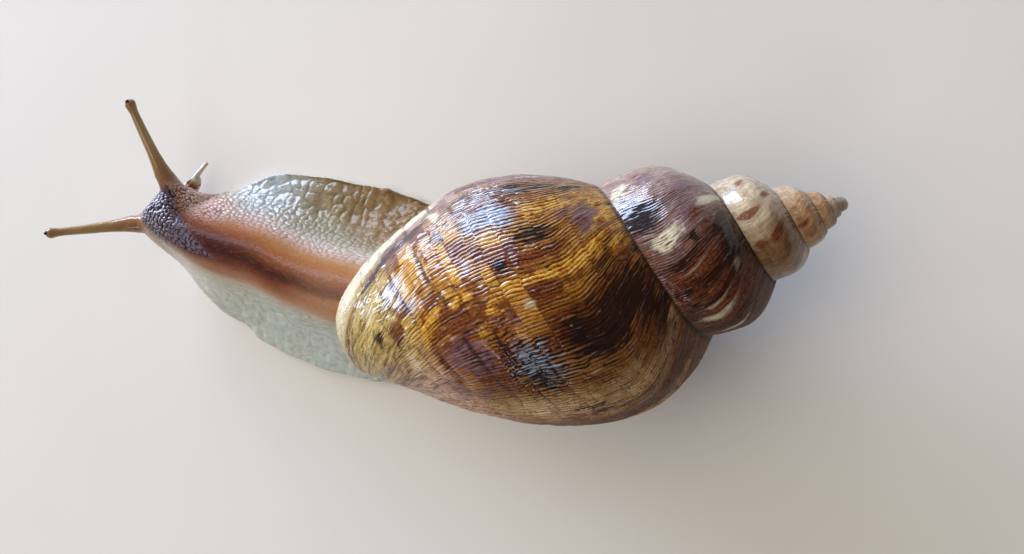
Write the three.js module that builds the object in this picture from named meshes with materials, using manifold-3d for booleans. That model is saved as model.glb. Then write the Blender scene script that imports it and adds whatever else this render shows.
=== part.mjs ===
// Giant african land snail, a still life-size model: the coiled shell, the collar of mantle in its
// mouth, and the body crawling on a flat sole, with its head and four feelers stretched out.
// Millimetres, +Z up, the floor at z = 0. The head points along -X, and the shell's tip along +X.

import * as THREE from 'three';
import { mergeVertices } from 'three/addons/utils/BufferGeometryUtils.js';
import Module from 'manifold-3d';

const wasm = await Module();
wasm.setup();

// ---- Driving dimensions ---------------------------------------------------------------------

const GAP = 0.3; // clearance between neighbouring pieces
const TURN = 2 * Math.PI;

// The whole animal is placed so that its bounding box is centred on the origin.
const CENTRE_SHIFT = new THREE.Vector3(15.97, -8.76, 0);

// Shell: a spire that grows by a fixed ratio each turn, with a tall last whorl.
const SHELL = {
  length: 151, // tip to base
  whorls: 5.8,
  radius: 42, // at the widest place of the last whorl
  radiusRate: 0.485, // how fast the radius shrinks, per turn back from the mouth
  lastWhorlEase: 0.12, // the last whorl widens more slowly than the spire
  heightRate: 0.665, // how fast the distance to the tip shrinks, per turn
  widestFromTip: 101.8, // distance along the axis from the tip to the widest place
  sutureDrop: 0.36, // each whorl meets the one before this share of its radius below its widest
  baseDrop: 2.37, // height of a whorl below its widest place, as a share of its radius
  twist: 20, // rise of the base over one turn
  shoulder: 2.2, // power of the upper curve of a whorl
  baseFall: 1.85, // power of the lower curve of a whorl
  lipFlare: 36, // degrees by which the profile turns in under the mouth
  lipFall: 1.25, // power of the lower curve at the mouth
  mouthPast: 0.037, // turns from the side of the shell to the lip
  tip: new THREE.Vector3(114.3, 20.3, 37),
  toTip: new THREE.Vector3(0.9415, 0.3332, -0.0497).normalize(),
  lipBelowLevel: THREE.MathUtils.degToRad(8),
};
const LIP_THICKNESS = 0.07; // share of the mouth's width
const MOUTH_DEPTH = 0.2; // how far back the mouth's floor is turned, radians
const MANTLE_BACK = 0.11; // how far back the mantle reaches, radians
const MANTLE_BULGE = 0.15; // how far it bulges out of the mouth, radians
const MOUTH_CENTRE = { along: 105, out: 27 }; // in the plane of the mouth

// Facets of the shell.
const STEPS_PER_TURN = 36;
const WALL_STEPS = 8;
const BASE_STEPS = 9;

// Body: cross-sections along the line of the sole, from the snout to the tip of the tail.
// half: half width at the sole's margin. hump, top: half width and height of the back.
// lean: how far the back lies to the right of the sole's middle. lift: height of the underside.
// round: 0 for a flat sole with a thin margin, 1 for an oval section.
const MARGIN = 3.4; // thickness of the sole's margin
const BODY_LINE = [
  [-119.5, 29],
  [-113, 22.5],
  [-105, 16.8],
  [-92, 11.5],
  [-75.5, 7.4],
  [-56, 1.6],
  [-36, -3.1],
  [-15, -7],
  [5, -7.5],
  [28, -2.5],
  [50, 6],
];
const SECTIONS = [
  { at: 0.0, half: 5.5, hump: 6, top: 18, lean: 0, lift: 9.5, round: 0.9 },
  { at: 0.014, half: 8.8, hump: 8, top: 21.5, lean: 0, lift: 7.5, round: 0.9 },
  { at: 0.045, half: 11, hump: 9, top: 24.5, lean: 0, lift: 5, round: 0.85 },
  { at: 0.08, half: 12.5, hump: 10, top: 26, lean: -0.3, lift: 2, round: 0.5 },
  { at: 0.105, half: 15, hump: 10.7, top: 26.5, lean: -0.6, lift: 0, round: 0.12 },
  { at: 0.18, half: 23, hump: 12, top: 28, lean: -1, lift: 0, round: 0 },
  { at: 0.275, half: 29.8, hump: 12.6, top: 30, lean: -1, lift: 0, round: 0 },
  { at: 0.386, half: 32.7, hump: 13.6, top: 33.5, lean: -2.5, lift: 0, round: 0 },
  { at: 0.503, half: 32.4, hump: 15.5, top: 38, lean: -3, lift: 0, round: 0 },
  { at: 0.62, half: 30.5, hump: 17, top: 40, lean: 4, lift: 0, round: 0 },
  { at: 0.73, half: 27.5, hump: 17, top: 36, lean: 5, lift: 0, round: 0 },
  { at: 0.864, half: 20, hump: 13, top: 16, lean: 2, lift: 0, round: 0 },
  { at: 0.95, half: 11.5, hump: 8, top: 8, lean: 0, lift: 0, round: 0 },
  { at: 1.0, half: 2, hump: 1.6, top: 3.6, lean: 0, lift: 0, round: 0 },
];
const BACK_STEPS = 16;
const SOLE_STEPS = 4;
const NECK_FLOOR = 8.5; // height of the cut between the sole and the neck and trunk above it

// Where the body is parted, as shares of its length.
const PARTINGS = { head: 0.105, neck: 0.45, trunk: 0.7, rear: 0.9 };

// Feelers: each a tapering tube from the head to its tip.
const UPPER_FEELERS = [
  { side: 'right', root: [-110.5, 31, 16.5], tip: [-113.8, 59.2, 36] },
  { side: 'left', root: [-118.5, 19.5, 16.5], tip: [-146.6, 14.8, 36] },
];
const LOWER_FEELERS = [
  { side: 'right', root: [-107.5, 32.5, 10], tip: [-101, 41, 8] },
  { side: 'left', root: [-118, 17, 10], tip: [-127.5, 11, 8] },
];
const FEELER_ROOT_RADIUS = 4.1;
const FEELER_MIDDLE_RADIUS = 2.0;
const FEELER_TIP_RADIUS = 1.45;
const BULB_RADIUS = 1.95;
const EYE_RADIUS = 0.7;
const LOWER_FEELER_RADIUS = 1.6;
const FEELER_SIDES = 12;

// ---- Materials ------------------------------------------------------------------------------

const finish = (color, roughness) => new THREE.MeshStandardMaterial({ color, roughness, metalness: 0 });
const SHELL_BROWN = finish(0x9a6b2e, 0.3);
const HEAD_BROWN = finish(0x5e4436, 0.45);
const FOOT_GREY = finish(0xa9a98c, 0.4);
const MANTLE_TAN = finish(0xb09a74, 0.4);
const FEELER_TAN = finish(0x9c7a52, 0.45);
const EYE_BLACK = finish(0x1a1614, 0.25);

// ---- Helpers --------------------------------------------------------------------------------

const clamp01 = (x) => Math.min(1, Math.max(0, x));
const smooth = (x) => clamp01(x) ** 2 * (3 - 2 * clamp01(x));
const mix = THREE.MathUtils.lerp;

function geometryFrom(points, faces) {
  const geometry = new THREE.BufferGeometry();
  const position = points.flatMap((p) => [p.x, p.y, p.z]);
  geometry.setAttribute('position', new THREE.Float32BufferAttribute(position, 3));
  geometry.setIndex(faces.flat());
  return geometry;
}

function merged(geometry) {
  const bare = geometry.clone();
  bare.deleteAttribute('normal');
  bare.deleteAttribute('uv');
  return mergeVertices(bare, 1e-4);
}

function toSolid(geometry) {
  const closed = merged(geometry);
  return new wasm.Manifold(
    new wasm.Mesh({
      numProp: 3,
      vertProperties: new Float32Array(closed.attributes.position.array),
      triVerts: new Uint32Array(closed.index.array),
    }),
  );
}

function toGeometry(solid) {
  const mesh = solid.getMesh();
  const geometry = new THREE.BufferGeometry();
  geometry.setAttribute('position', new THREE.Float32BufferAttribute(mesh.vertProperties, 3));
  geometry.setIndex(Array.from(mesh.triVerts));
  return geometry;
}

// The same surface moved outwards, so that what is cut by it keeps a clearance.
function grown(geometry, distance) {
  const copy = merged(geometry);
  copy.computeVertexNormals();
  const position = copy.attributes.position;
  const normal = copy.attributes.normal;
  const point = new THREE.Vector3();
  const way = new THREE.Vector3();
  for (let i = 0; i < position.count; i += 1) {
    point.fromBufferAttribute(position, i);
    way.fromBufferAttribute(normal, i);
    point.addScaledVector(way, distance);
    position.setXYZ(i, point.x, point.y, point.z);
  }
  return copy;
}

// The room that a piece and its clearance take, to be cut out of its neighbours.
const roomFor = (geometry) => toSolid(grown(geometry, GAP));

// ---- Shell ----------------------------------------------------------------------------------

// All of these take the age of a place, in turns back from the side of the last whorl.
function whorlRadius(age) {
  const ease = SHELL.lastWhorlEase * (1 - Math.exp(-4 * age));
  return SHELL.radius * Math.exp(ease - SHELL.radiusRate * age);
}

function whorlWidestAt(age) {
  return SHELL.widestFromTip * Math.exp(-SHELL.heightRate * age);
}

function whorlBaseHeight(age) {
  if (age >= 1) return SHELL.baseDrop * whorlRadius(age);
  return SHELL.length - SHELL.twist * Math.max(0, age) - whorlWidestAt(age);
}

function suture(age) {
  const radius = whorlRadius(age + 1);
  const inward = (SHELL.sutureDrop / SHELL.baseDrop) ** SHELL.baseFall;
  return { out: radius * (1 - inward), along: whorlWidestAt(age + 1) + SHELL.sutureDrop * radius };
}

// across: 0 at the upper suture, 1 at the next suture down, 2 at the base.
function whorlProfile(age, across) {
  const top = suture(age);
  const radius = whorlRadius(age);
  const widest = whorlWidestAt(age);
  const height = whorlBaseHeight(age);
  const drop = SHELL.sutureDrop * radius;
  if (across <= 1) {
    const along = mix(top.along, widest + drop, across);
    if (along <= widest) {
      const climb = (widest - along) / (widest - top.along);
      return { along, out: radius - (radius - top.out) * climb ** SHELL.shoulder };
    }
  }
  const mouthness = smooth(1 - 2 * age);
  const end = THREE.MathUtils.degToRad(90 + SHELL.lipFlare * mouthness);
  const start = Math.asin(clamp01(drop / height));
  const fallen = (mix(top.along, widest + drop, Math.min(1, across)) - widest) / height;
  const angle = across <= 1 ? Math.asin(clamp01(fallen)) : mix(start, end, across - 1);
  const round = Math.sin(Math.min(angle, Math.PI / 2)) ** SHELL.baseFall;
  const flared = (angle / end) ** SHELL.lipFall;
  return {
    along: widest + height * Math.sin(angle),
    out: radius * (1 - mix(round, flared, mouthness)),
  };
}

// Turns a place of the half-plane at that age into a point, down being the way the lip hangs.
const towardsRight = new THREE.Vector3(-SHELL.toTip.y, SHELL.toTip.x, 0).normalize();
const towardsDown = new THREE.Vector3().crossVectors(towardsRight, SHELL.toTip);

function shellPoint({ along, out }, age) {
  const angle = SHELL.lipBelowLevel - TURN * (age + SHELL.mouthPast);
  return SHELL.tip
    .clone()
    .addScaledVector(SHELL.toTip, -along)
    .addScaledVector(towardsRight, out * Math.cos(angle))
    .addScaledVector(towardsDown, out * Math.sin(angle));
}

// A ring of the mouth: the mouth's outline drawn in towards its centre and turned back inside.
function mouthRing(outline, scale, turned) {
  return outline.map(({ along, out }) =>
    shellPoint(
      {
        along: mix(MOUTH_CENTRE.along, along, scale),
        out: mix(MOUTH_CENTRE.out, out, scale),
      },
      turned / TURN - SHELL.mouthPast,
    ),
  );
}

function joinRings(faces, first, second) {
  for (let i = 0; i < first.length; i += 1) {
    const next = (i + 1) % first.length;
    faces.push([first[i], first[next], second[next]]);
    faces.push([first[i], second[next], second[i]]);
  }
}

function fan(faces, ring, centre) {
  for (let i = 0; i < ring.length; i += 1) {
    faces.push([ring[i], ring[(i + 1) % ring.length], centre]);
  }
}

// The outline of the mouth in its own plane, from the suture down the outer lip to the base, up
// the axis, and back up the wall of the whorl before.
function mouthOutline() {
  const mouthAge = -SHELL.mouthPast;
  const outline = [];
  for (let j = 0; j < WALL_STEPS; j += 1) outline.push(whorlProfile(mouthAge, j / WALL_STEPS));
  for (let j = 0; j <= BASE_STEPS; j += 1) outline.push(whorlProfile(mouthAge, 1 + j / BASE_STEPS));
  for (let i = 1; i < STEPS_PER_TURN; i += 1) {
    outline.push(whorlProfile(mouthAge + i / STEPS_PER_TURN, 2));
  }
  for (let j = BASE_STEPS; j > 0; j -= 1) outline.push(whorlProfile(mouthAge + 1, 1 + j / BASE_STEPS));
  return outline;
}

function shellGeometry() {
  const points = [];
  const faces = [];
  const steps = Math.round(SHELL.whorls * STEPS_PER_TURN);
  const ageOf = (step) => step / STEPS_PER_TURN - SHELL.mouthPast;
  const add = (point) => points.push(point) - 1;

  // Wall of every whorl, between its two sutures. A whorl's upper edge is the lower edge of the
  // whorl before it, so the two share their points.
  const wall = [];
  for (let i = 0; i <= steps; i += 1) {
    wall.push([]);
    for (let j = 0; j <= WALL_STEPS; j += 1) {
      wall[i].push(add(shellPoint(whorlProfile(ageOf(i), j / WALL_STEPS), ageOf(i))));
    }
  }
  for (let i = 0; i + STEPS_PER_TURN <= steps; i += 1) wall[i][0] = wall[i + STEPS_PER_TURN][WALL_STEPS];

  // Base of the last whorl, below the line where the next suture would run.
  const base = [];
  for (let i = 0; i <= STEPS_PER_TURN; i += 1) {
    base.push([wall[i][WALL_STEPS]]);
    for (let j = 1; j <= BASE_STEPS; j += 1) {
      base[i].push(add(shellPoint(whorlProfile(ageOf(i), 1 + j / BASE_STEPS), ageOf(i))));
    }
  }
  for (const grid of [wall, base]) {
    for (let i = 0; i + 1 < grid.length; i += 1) {
      for (let j = 0; j + 1 < grid[i].length; j += 1) {
        faces.push([grid[i][j], grid[i + 1][j + 1], grid[i + 1][j]]);
        faces.push([grid[i][j], grid[i][j + 1], grid[i + 1][j + 1]]);
      }
    }
  }

  // Tip: a low dome over the first whorl.
  const rim = [];
  for (let i = steps - STEPS_PER_TURN; i <= steps; i += 1) rim.push(wall[i][0]);
  for (let j = 1; j < WALL_STEPS; j += 1) rim.push(wall[steps][j]);
  fan(faces, rim, add(shellPoint({ along: -0.8, out: 0 }, 0)));

  // Mouth: the edge of the lip, the inside of the lip, and the floor where the shell turns in.
  const outer = [...wall[0].slice(0, WALL_STEPS), ...base[0]];
  const inner = base[STEPS_PER_TURN].slice(1).reverse();
  const axis = [];
  for (let i = 1; i < STEPS_PER_TURN; i += 1) axis.push(base[i][BASE_STEPS]);
  const edge = [...outer, ...axis, ...inner];
  const outline = mouthOutline();
  let previous = edge;
  for (const [scale, turned] of [
    [1 - LIP_THICKNESS, 0],
    [1 - 1.5 * LIP_THICKNESS, MOUTH_DEPTH / 2],
    [1 - 2 * LIP_THICKNESS, MOUTH_DEPTH],
  ]) {
    const ring = mouthRing(outline, scale, turned).map(add);
    joinRings(faces, ring, previous);
    previous = ring;
  }
  const floor = add(shellPoint(MOUTH_CENTRE, MOUTH_DEPTH / TURN - SHELL.mouthPast));
  fan(faces, previous.reverse(), floor);
  return geometryFrom(points, faces);
}

// The mantle stands in the mouth, clear of the shell, and bulges a little out of it.
function mantleGeometry() {
  const points = [];
  const faces = [];
  const outline = mouthOutline().filter((_, i) => i % 2 === 0);
  const add = (point) => points.push(point) - 1;
  const centre = (turned) => add(shellPoint(MOUTH_CENTRE, turned / TURN - SHELL.mouthPast));
  const inside = 1 - 3.2 * LIP_THICKNESS;
  const rings = [
    [inside, MANTLE_BACK],
    [inside, MANTLE_BACK / 3],
    [inside * 0.99, -MANTLE_BULGE * 0.1],
    [inside * 0.93, -MANTLE_BULGE * 0.55],
    [inside * 0.75, -MANTLE_BULGE * 0.93],
  ].map(([scale, turned]) => mouthRing(outline, scale, turned).map(add));
  fan(faces, rings[0], centre(MANTLE_BACK));
  for (let i = 0; i + 1 < rings.length; i += 1) joinRings(faces, rings[i + 1], rings[i]);
  fan(faces, [...rings[rings.length - 1]].reverse(), centre(-MANTLE_BULGE));
  return geometryFrom(points, faces);
}

// ---- Body -----------------------------------------------------------------------------------

const bodyLine = new THREE.CatmullRomCurve3(BODY_LINE.map(([x, y]) => new THREE.Vector3(x, y, 0)));

// A cross-section's sizes at a share of the body's length, eased between the listed sections.
function sizesAt(share) {
  const next = Math.max(1, SECTIONS.findIndex((section) => section.at >= share));
  const [a, b] = [SECTIONS[next - 1], SECTIONS[next]];
  const before = SECTIONS[Math.max(0, next - 2)];
  const after = SECTIONS[Math.min(SECTIONS.length - 1, next + 1)];
  const span = b.at - a.at;
  const t = (share - a.at) / span;
  const sizes = {};
  for (const key of ['half', 'hump', 'top', 'lean', 'lift', 'round']) {
    const slope = (p, q) => (p === q ? 0 : ((q[key] - p[key]) / (q.at - p.at)) * span);
    const limit = (one, other) => (one * other <= 0 ? 0 : (2 * one * other) / (one + other));
    const here = b[key] - a[key];
    const m0 = before === a ? here : limit(slope(before, a), here);
    const m1 = after === b ? here : limit(slope(b, after), here);
    sizes[key] =
      (2 * t ** 3 - 3 * t ** 2 + 1) * a[key] +
      (t ** 3 - 2 * t ** 2 + t) * m0 +
      (3 * t ** 2 - 2 * t ** 3) * b[key] +
      (t ** 3 - t ** 2) * m1;
  }
  return sizes;
}

// Height of the back and of the underside over a place across the section, -1 left to 1 right.
function sectionHeights(sizes, across) {
  const { half, hump, top, lean, lift, round } = sizes;
  const rim = lift + mix(MARGIN, 0.45 * (top - lift), round);
  const bell = (x) => 1 / (1 + Math.abs(x / hump) ** 3);
  const foot = Math.min(bell(half - lean), bell(half + lean));
  const skirt = Math.max(0, (bell(across * half - lean) - foot) / (1 - foot));
  const oval = Math.sqrt(Math.max(0, 1 - across ** 2));
  return {
    above: rim + (top - rim) * mix(skirt, oval, round),
    below: rim - (rim - lift) * (1 - round + round * oval),
  };
}

function bodySection(share) {
  const sizes = sizesAt(share);
  const middle = bodyLine.getPointAt(share);
  const ahead = bodyLine.getTangentAt(share);
  const right = new THREE.Vector3(-ahead.y, ahead.x, 0);
  const place = (across, height) => {
    const point = middle.clone().addScaledVector(right, across * sizes.half);
    point.z = height;
    return point;
  };
  const ring = [];
  for (let i = 0; i <= BACK_STEPS; i += 1) {
    const across = (2 * i) / BACK_STEPS - 1;
    ring.push(place(across, sectionHeights(sizes, across).above));
  }
  for (let i = SOLE_STEPS; i >= 0; i -= 1) {
    const across = (2 * i) / SOLE_STEPS - 1;
    ring.push(place(across, sectionHeights(sizes, across).below));
  }
  return ring;
}

function bodyLength(from, to, steps) {
  const points = [];
  const faces = [];
  const add = (point) => points.push(point) - 1;
  const rings = [];
  for (let i = 0; i <= steps; i += 1) rings.push(bodySection(mix(from, to, i / steps)).map(add));
  const middleOf = (ring) =>
    ring.reduce((sum, i) => sum.add(points[i]), new THREE.Vector3()).divideScalar(ring.length);
  for (let i = 0; i < steps; i += 1) joinRings(faces, rings[i + 1], rings[i]);
  fan(faces, [...rings[steps]].reverse(), add(middleOf(rings[steps])));
  fan(faces, rings[0], add(middleOf(rings[0])));
  return geometryFrom(points, faces);
}

// A block that reaches past the body on every side, between two heights.
const BLOCK_SIZE = 400;

function layer(low, high) {
  const block = new THREE.BoxGeometry(BLOCK_SIZE, BLOCK_SIZE, high - low);
  block.translate(0, 0, (low + high) / 2);
  return toSolid(block);
}

// ---- Feelers --------------------------------------------------------------------------------

// A tube whose radius is given at every share of its straight length, with a rounded tip.
function feelerGeometry(feeler, radii) {
  const start = new THREE.Vector3(...feeler.root);
  const end = new THREE.Vector3(...feeler.tip);
  const length = start.distanceTo(end);
  const profile = [new THREE.Vector2(0, 0)];
  for (const [share, radius] of radii) profile.push(new THREE.Vector2(radius, share * length));
  const geometry = new THREE.LatheGeometry(profile, FEELER_SIDES);
  const way = end.sub(start).normalize();
  geometry.applyQuaternion(new THREE.Quaternion().setFromUnitVectors(new THREE.Vector3(0, 1, 0), way));
  geometry.translate(start.x, start.y, start.z);
  return geometry;
}

const UPPER_RADII = [
  [0, FEELER_ROOT_RADIUS],
  [0.18, 3.1],
  [0.4, FEELER_MIDDLE_RADIUS],
  [0.7, 1.65],
  [0.86, FEELER_TIP_RADIUS],
  [0.91, BULB_RADIUS * 0.9],
  [0.95, BULB_RADIUS],
  [0.985, BULB_RADIUS * 0.72],
  [1, 0],
];
const LOWER_RADII = [
  [0, LOWER_FEELER_RADIUS * 1.25],
  [0.5, LOWER_FEELER_RADIUS * 0.9],
  [0.85, LOWER_FEELER_RADIUS * 0.65],
  [1, 0],
];

// The eye is a small dark ball let into the upper front of each bulb.
function eyeGeometry(feeler) {
  const ball = new THREE.IcosahedronGeometry(EYE_RADIUS, 1);
  const tip = new THREE.Vector3(...feeler.tip);
  const way = tip.clone().sub(new THREE.Vector3(...feeler.root)).normalize();
  const length = tip.distanceTo(new THREE.Vector3(...feeler.root));
  const centre = tip.addScaledVector(way, -0.03 * length);
  centre.z += BULB_RADIUS * 0.62;
  ball.translate(centre.x, centre.y, centre.z);
  return ball;
}

// ---- Putting it together --------------------------------------------------------------------

const snail = new THREE.Group();
snail.position.copy(CENTRE_SHIFT);

function addPiece(name, geometry, material) {
  const mesh = new THREE.Mesh(geometry, material);
  mesh.name = name;
  snail.add(mesh);
}

const shell = shellGeometry();
const mantle = mantleGeometry();
const shellRoom = roomFor(shell);
const mantleRoom = roomFor(mantle);
addPiece('shell', shell, SHELL_BROWN);
addPiece('mantle_collar', mantle, MANTLE_TAN);

// The body from snout to tail, parted across its length and, from the neck to the trunk, between
// the sole and what stands on it. Each part is cut back from the shell and the mantle.
const halfGap = GAP / 2 / bodyLine.getLength();
const bodyPart = (from, to, steps) => toSolid(bodyLength(from + halfGap, to - halfGap, steps));
const clearOfShell = (solid) => toGeometry(solid.subtract(shellRoom).subtract(mantleRoom));
const upperLayer = layer(NECK_FLOOR + GAP, BLOCK_SIZE);
const soleLayer = layer(-BLOCK_SIZE, NECK_FLOOR);
const front = bodyPart(PARTINGS.head, PARTINGS.neck, 12);
const middle = bodyPart(PARTINGS.neck, PARTINGS.trunk, 9);
const rear = bodyPart(PARTINGS.trunk, PARTINGS.rear, 8);
const tail = bodyPart(PARTINGS.rear, 1 - halfGap, 5);
addPiece('neck', clearOfShell(front.intersect(upperLayer)), HEAD_BROWN);
addPiece('foot_front', clearOfShell(front.intersect(soleLayer)), FOOT_GREY);
addPiece('trunk', clearOfShell(middle.intersect(upperLayer)), FOOT_GREY);
addPiece('foot_middle', clearOfShell(middle.intersect(soleLayer)), FOOT_GREY);
addPiece('foot_rear', clearOfShell(rear), FOOT_GREY);
addPiece('tail_tip', clearOfShell(tail), FOOT_GREY);

const head = bodyLength(0, PARTINGS.head - halfGap, 9);
const headRoom = roomFor(head);
addPiece('head', head, HEAD_BROWN);
for (const feeler of UPPER_FEELERS) {
  const eye = eyeGeometry(feeler);
  const tube = toSolid(feelerGeometry(feeler, UPPER_RADII)).subtract(headRoom);
  addPiece(`upper_feeler_${feeler.side}`, toGeometry(tube.subtract(roomFor(eye))), FEELER_TAN);
  addPiece(`eye_${feeler.side}`, eye, EYE_BLACK);
}
for (const feeler of LOWER_FEELERS) {
  const tube = toSolid(feelerGeometry(feeler, LOWER_RADII));
  addPiece(`lower_feeler_${feeler.side}`, toGeometry(tube.subtract(headRoom)), FEELER_TAN);
}

export default snail;
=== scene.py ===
"""Giant african land snail, life size, crawling: its shell, one skin over the body, and its eyes."""
import math
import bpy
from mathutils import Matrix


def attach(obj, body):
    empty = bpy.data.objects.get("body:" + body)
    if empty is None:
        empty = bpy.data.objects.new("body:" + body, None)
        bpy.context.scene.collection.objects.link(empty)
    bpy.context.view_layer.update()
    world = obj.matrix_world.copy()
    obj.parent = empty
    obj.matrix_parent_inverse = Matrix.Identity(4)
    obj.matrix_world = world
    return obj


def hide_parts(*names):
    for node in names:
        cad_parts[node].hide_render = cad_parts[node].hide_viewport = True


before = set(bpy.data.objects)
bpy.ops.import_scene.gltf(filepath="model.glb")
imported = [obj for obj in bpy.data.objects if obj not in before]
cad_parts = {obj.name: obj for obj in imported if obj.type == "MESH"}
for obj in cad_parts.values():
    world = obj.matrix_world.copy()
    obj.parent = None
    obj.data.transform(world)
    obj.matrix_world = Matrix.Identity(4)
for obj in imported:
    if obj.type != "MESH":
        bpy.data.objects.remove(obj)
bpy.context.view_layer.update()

from types import SimpleNamespace

import bpy
import numpy as np
from mathutils import Vector

# ---- Sizes, in millimetres; angles in radians, and a whorl's age in turns back from the mouth ----

MM = 0.001
TURN = 2 * math.pi
CENTRE_SHIFT = np.array([15.97, -8.76, 0.0])

SHELL_LENGTH = 151.0
WHORLS = 5.8
RADIUS = 42.0
RADIUS_RATE = 0.485
LAST_WHORL_EASE = 0.12
EASE_RATE = 4.0
HEIGHT_RATE = 0.665
WIDEST_FROM_TIP = 101.8
SUTURE_DROP = 0.36
BASE_DROP = 2.37
TWIST = 20.0
SHOULDER = 2.2
BASE_FALL = 1.85
LIP_FLARE = math.radians(36)
LIP_FALL = 1.25
MOUTH_PAST = 0.037
SHELL_TIP = np.array([114.3, 20.3, 37.0]) + CENTRE_SHIFT
TO_TIP = np.array([0.9415, 0.3332, -0.0497])
LIP_BELOW_LEVEL = math.radians(8)
MOUTH_CENTRE = (105.0, 27.0)  # from the tip, and out from the axis
MOUTH_DEPTH = 0.2
FLUSH_SPIRE = 0.5  # how far the small whorls are drawn in towards the line between their sutures
LIP_THICKNESS = 0.03  # share of the mouth's width

STEPS_PER_TURN = 1200
SHELL_STEPS = round(WHORLS * STEPS_PER_TURN)
WALL_COLUMNS = (112, 56, 28)  # of the last whorl, the one before, and the rest
BASE_COLUMNS = 84

# Rings of the low dome over the tip: share of the way out, and place along the axis from the tip.
DOME_RINGS = ((0.85, 0.55), (0.6, 0.05), (0.3, -0.3))
DOME_TOP = -0.4

# Rings round the lip's edge and down inside the mouth: scale of its outline, and angle turned back.
MOUTH_RINGS = (
    (1 - 0.25 * LIP_THICKNESS, -0.006), (1 - 0.7 * LIP_THICKNESS, -0.006), (1 - LIP_THICKNESS, 0.004),
    (0.966, 0.02), (0.96, 0.05), (0.952, 0.09), (0.94, 0.13), (0.92, 0.165), (0.88, 0.19), (0.8, 0.2),
)
SUTURE_PRESSED_IN = 0.22
SUTURE_EASE = 45.0  # the relief fades over one part in so many of the way across, at both sutures

# Body, from the snout to the tip of the tail.
MARGIN = 3.4
BODY_LINE = (
    (-119.5, 29), (-113, 22.5), (-105, 16.8), (-92, 11.5), (-75.5, 7.4), (-56, 1.6),
    (-36, -3.1), (-15, -7), (5, -7.5), (28, -2.5), (50, 6),
)
SECTION_PLACES = (0, 0.014, 0.045, 0.08, 0.105, 0.18, 0.275, 0.386, 0.503, 0.62, 0.73, 0.864, 0.95, 1)
SECTION_SIZES = {
    "half": (5.5, 8.8, 11, 12.5, 15, 23, 29.8, 32.7, 32.4, 30.5, 27.5, 20, 11.5, 2),
    "hump": (6, 8, 9, 10, 10.7, 12, 12.6, 13.6, 15.5, 17, 17, 13, 8, 1.6),
    "top": (18, 21.5, 24.5, 26, 26.5, 28, 30, 33.5, 38, 40, 36, 16, 8, 3.6),
    "lean": (0, 0, 0, -0.3, -0.6, -1, -1, -2.5, -3, 4, 5, 2, 0, 0),
    "lift": (9.5, 7.5, 5, 2, 0, 0, 0, 0, 0, 0, 0, 0, 0, 0),
    "round": (0.9, 0.9, 0.85, 0.5, 0.12, 0, 0, 0, 0, 0, 0, 0, 0, 0),
}
UPPER_FEELERS = {
    "right": ((-110.5, 31, 16.5), (-113.8, 59.2, 36)),
    "left": ((-118.5, 19.5, 16.5), (-146.6, 14.8, 36)),
}
LOWER_FEELERS = {
    "right": ((-107.5, 32.5, 10), (-101, 41, 8)),
    "left": ((-118, 17, 10), (-127.5, 11, 8)),
}
UPPER_RADII = (
    (-0.12, 4.9), (0, 4.5), (0.07, 4.0), (0.14, 3.4), (0.25, 2.6), (0.4, 2.0), (0.7, 1.6), (0.86, 1.42),
    (0.91, 1.7), (0.95, 1.93), (0.975, 1.7), (0.992, 1.0), (0.999, 0.3),
)
LOWER_RADII = ((-0.2, 2.0), (0, 1.6), (0.3, 1.1), (0.82, 0.75), (0.9, 0.9), (0.97, 0.65), (0.999, 0.15))
BULB_RADIUS = 1.95
EYE_RADIUS = 0.7
EYE_BACK = 0.03  # from the feeler's end, as a share of its length
EYE_UP = 0.62  # from the middle of the bulb, as a share of its radius
SKIN_VOXEL = 0.36
SHELL_CLEARANCE = 0.45
BROW_HEIGHT = 15.0
FACE_DRAWN_BACK = 3.4

# ---- Arithmetic on arrays -----------------------------------------------------------------------


def mix(first, second, share):
    return first + (second - first) * share


def smooth(x):
    x = np.clip(x, 0.0, 1.0)
    return x * x * (3.0 - 2.0 * x)


def rise(x, low, high):
    """0 below low, 1 above high, and a smooth rise between."""
    return smooth((x - low) / (high - low))


def bell(x, centre, width):
    return np.exp(-(((x - centre) / width) ** 2))


def unit(vectors):
    return vectors / np.maximum(np.linalg.norm(vectors, axis=-1, keepdims=True), 1e-12)


def scatter(i, j, seed):
    """A fixed value from 0 to 1 for each pair of whole numbers."""
    n = (i.astype(np.int64) * 374761393 + j.astype(np.int64) * 668265263 + seed * 974634777) & 0xFFFFFFFF
    n = ((n ^ (n >> 13)) * 1274126177) & 0xFFFFFFFF
    n = ((n ^ (n >> 16)) * 2246822519) & 0xFFFFFFFF
    return ((n ^ (n >> 15)) & 0xFFFFFF) / float(0xFFFFFF)


def noise(x, y, seed):
    """Smooth noise from 0 to 1, of grain 1."""
    i, j = np.floor(x), np.floor(y)
    u, v = smooth(x - i), smooth(y - j)
    low = mix(scatter(i, j, seed), scatter(i + 1, j, seed), u)
    high = mix(scatter(i, j + 1, seed), scatter(i + 1, j + 1, seed), u)
    return mix(low, high, v)


def layered(x, y, seed, layers=3):
    total, weight = 0.0, 0.0
    for layer in range(layers):
        scale, share = 2.03**layer, 0.5**layer
        total = total + share * noise(x * scale, y * scale, seed + 17 * layer)
        weight += share
    return total / weight


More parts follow.
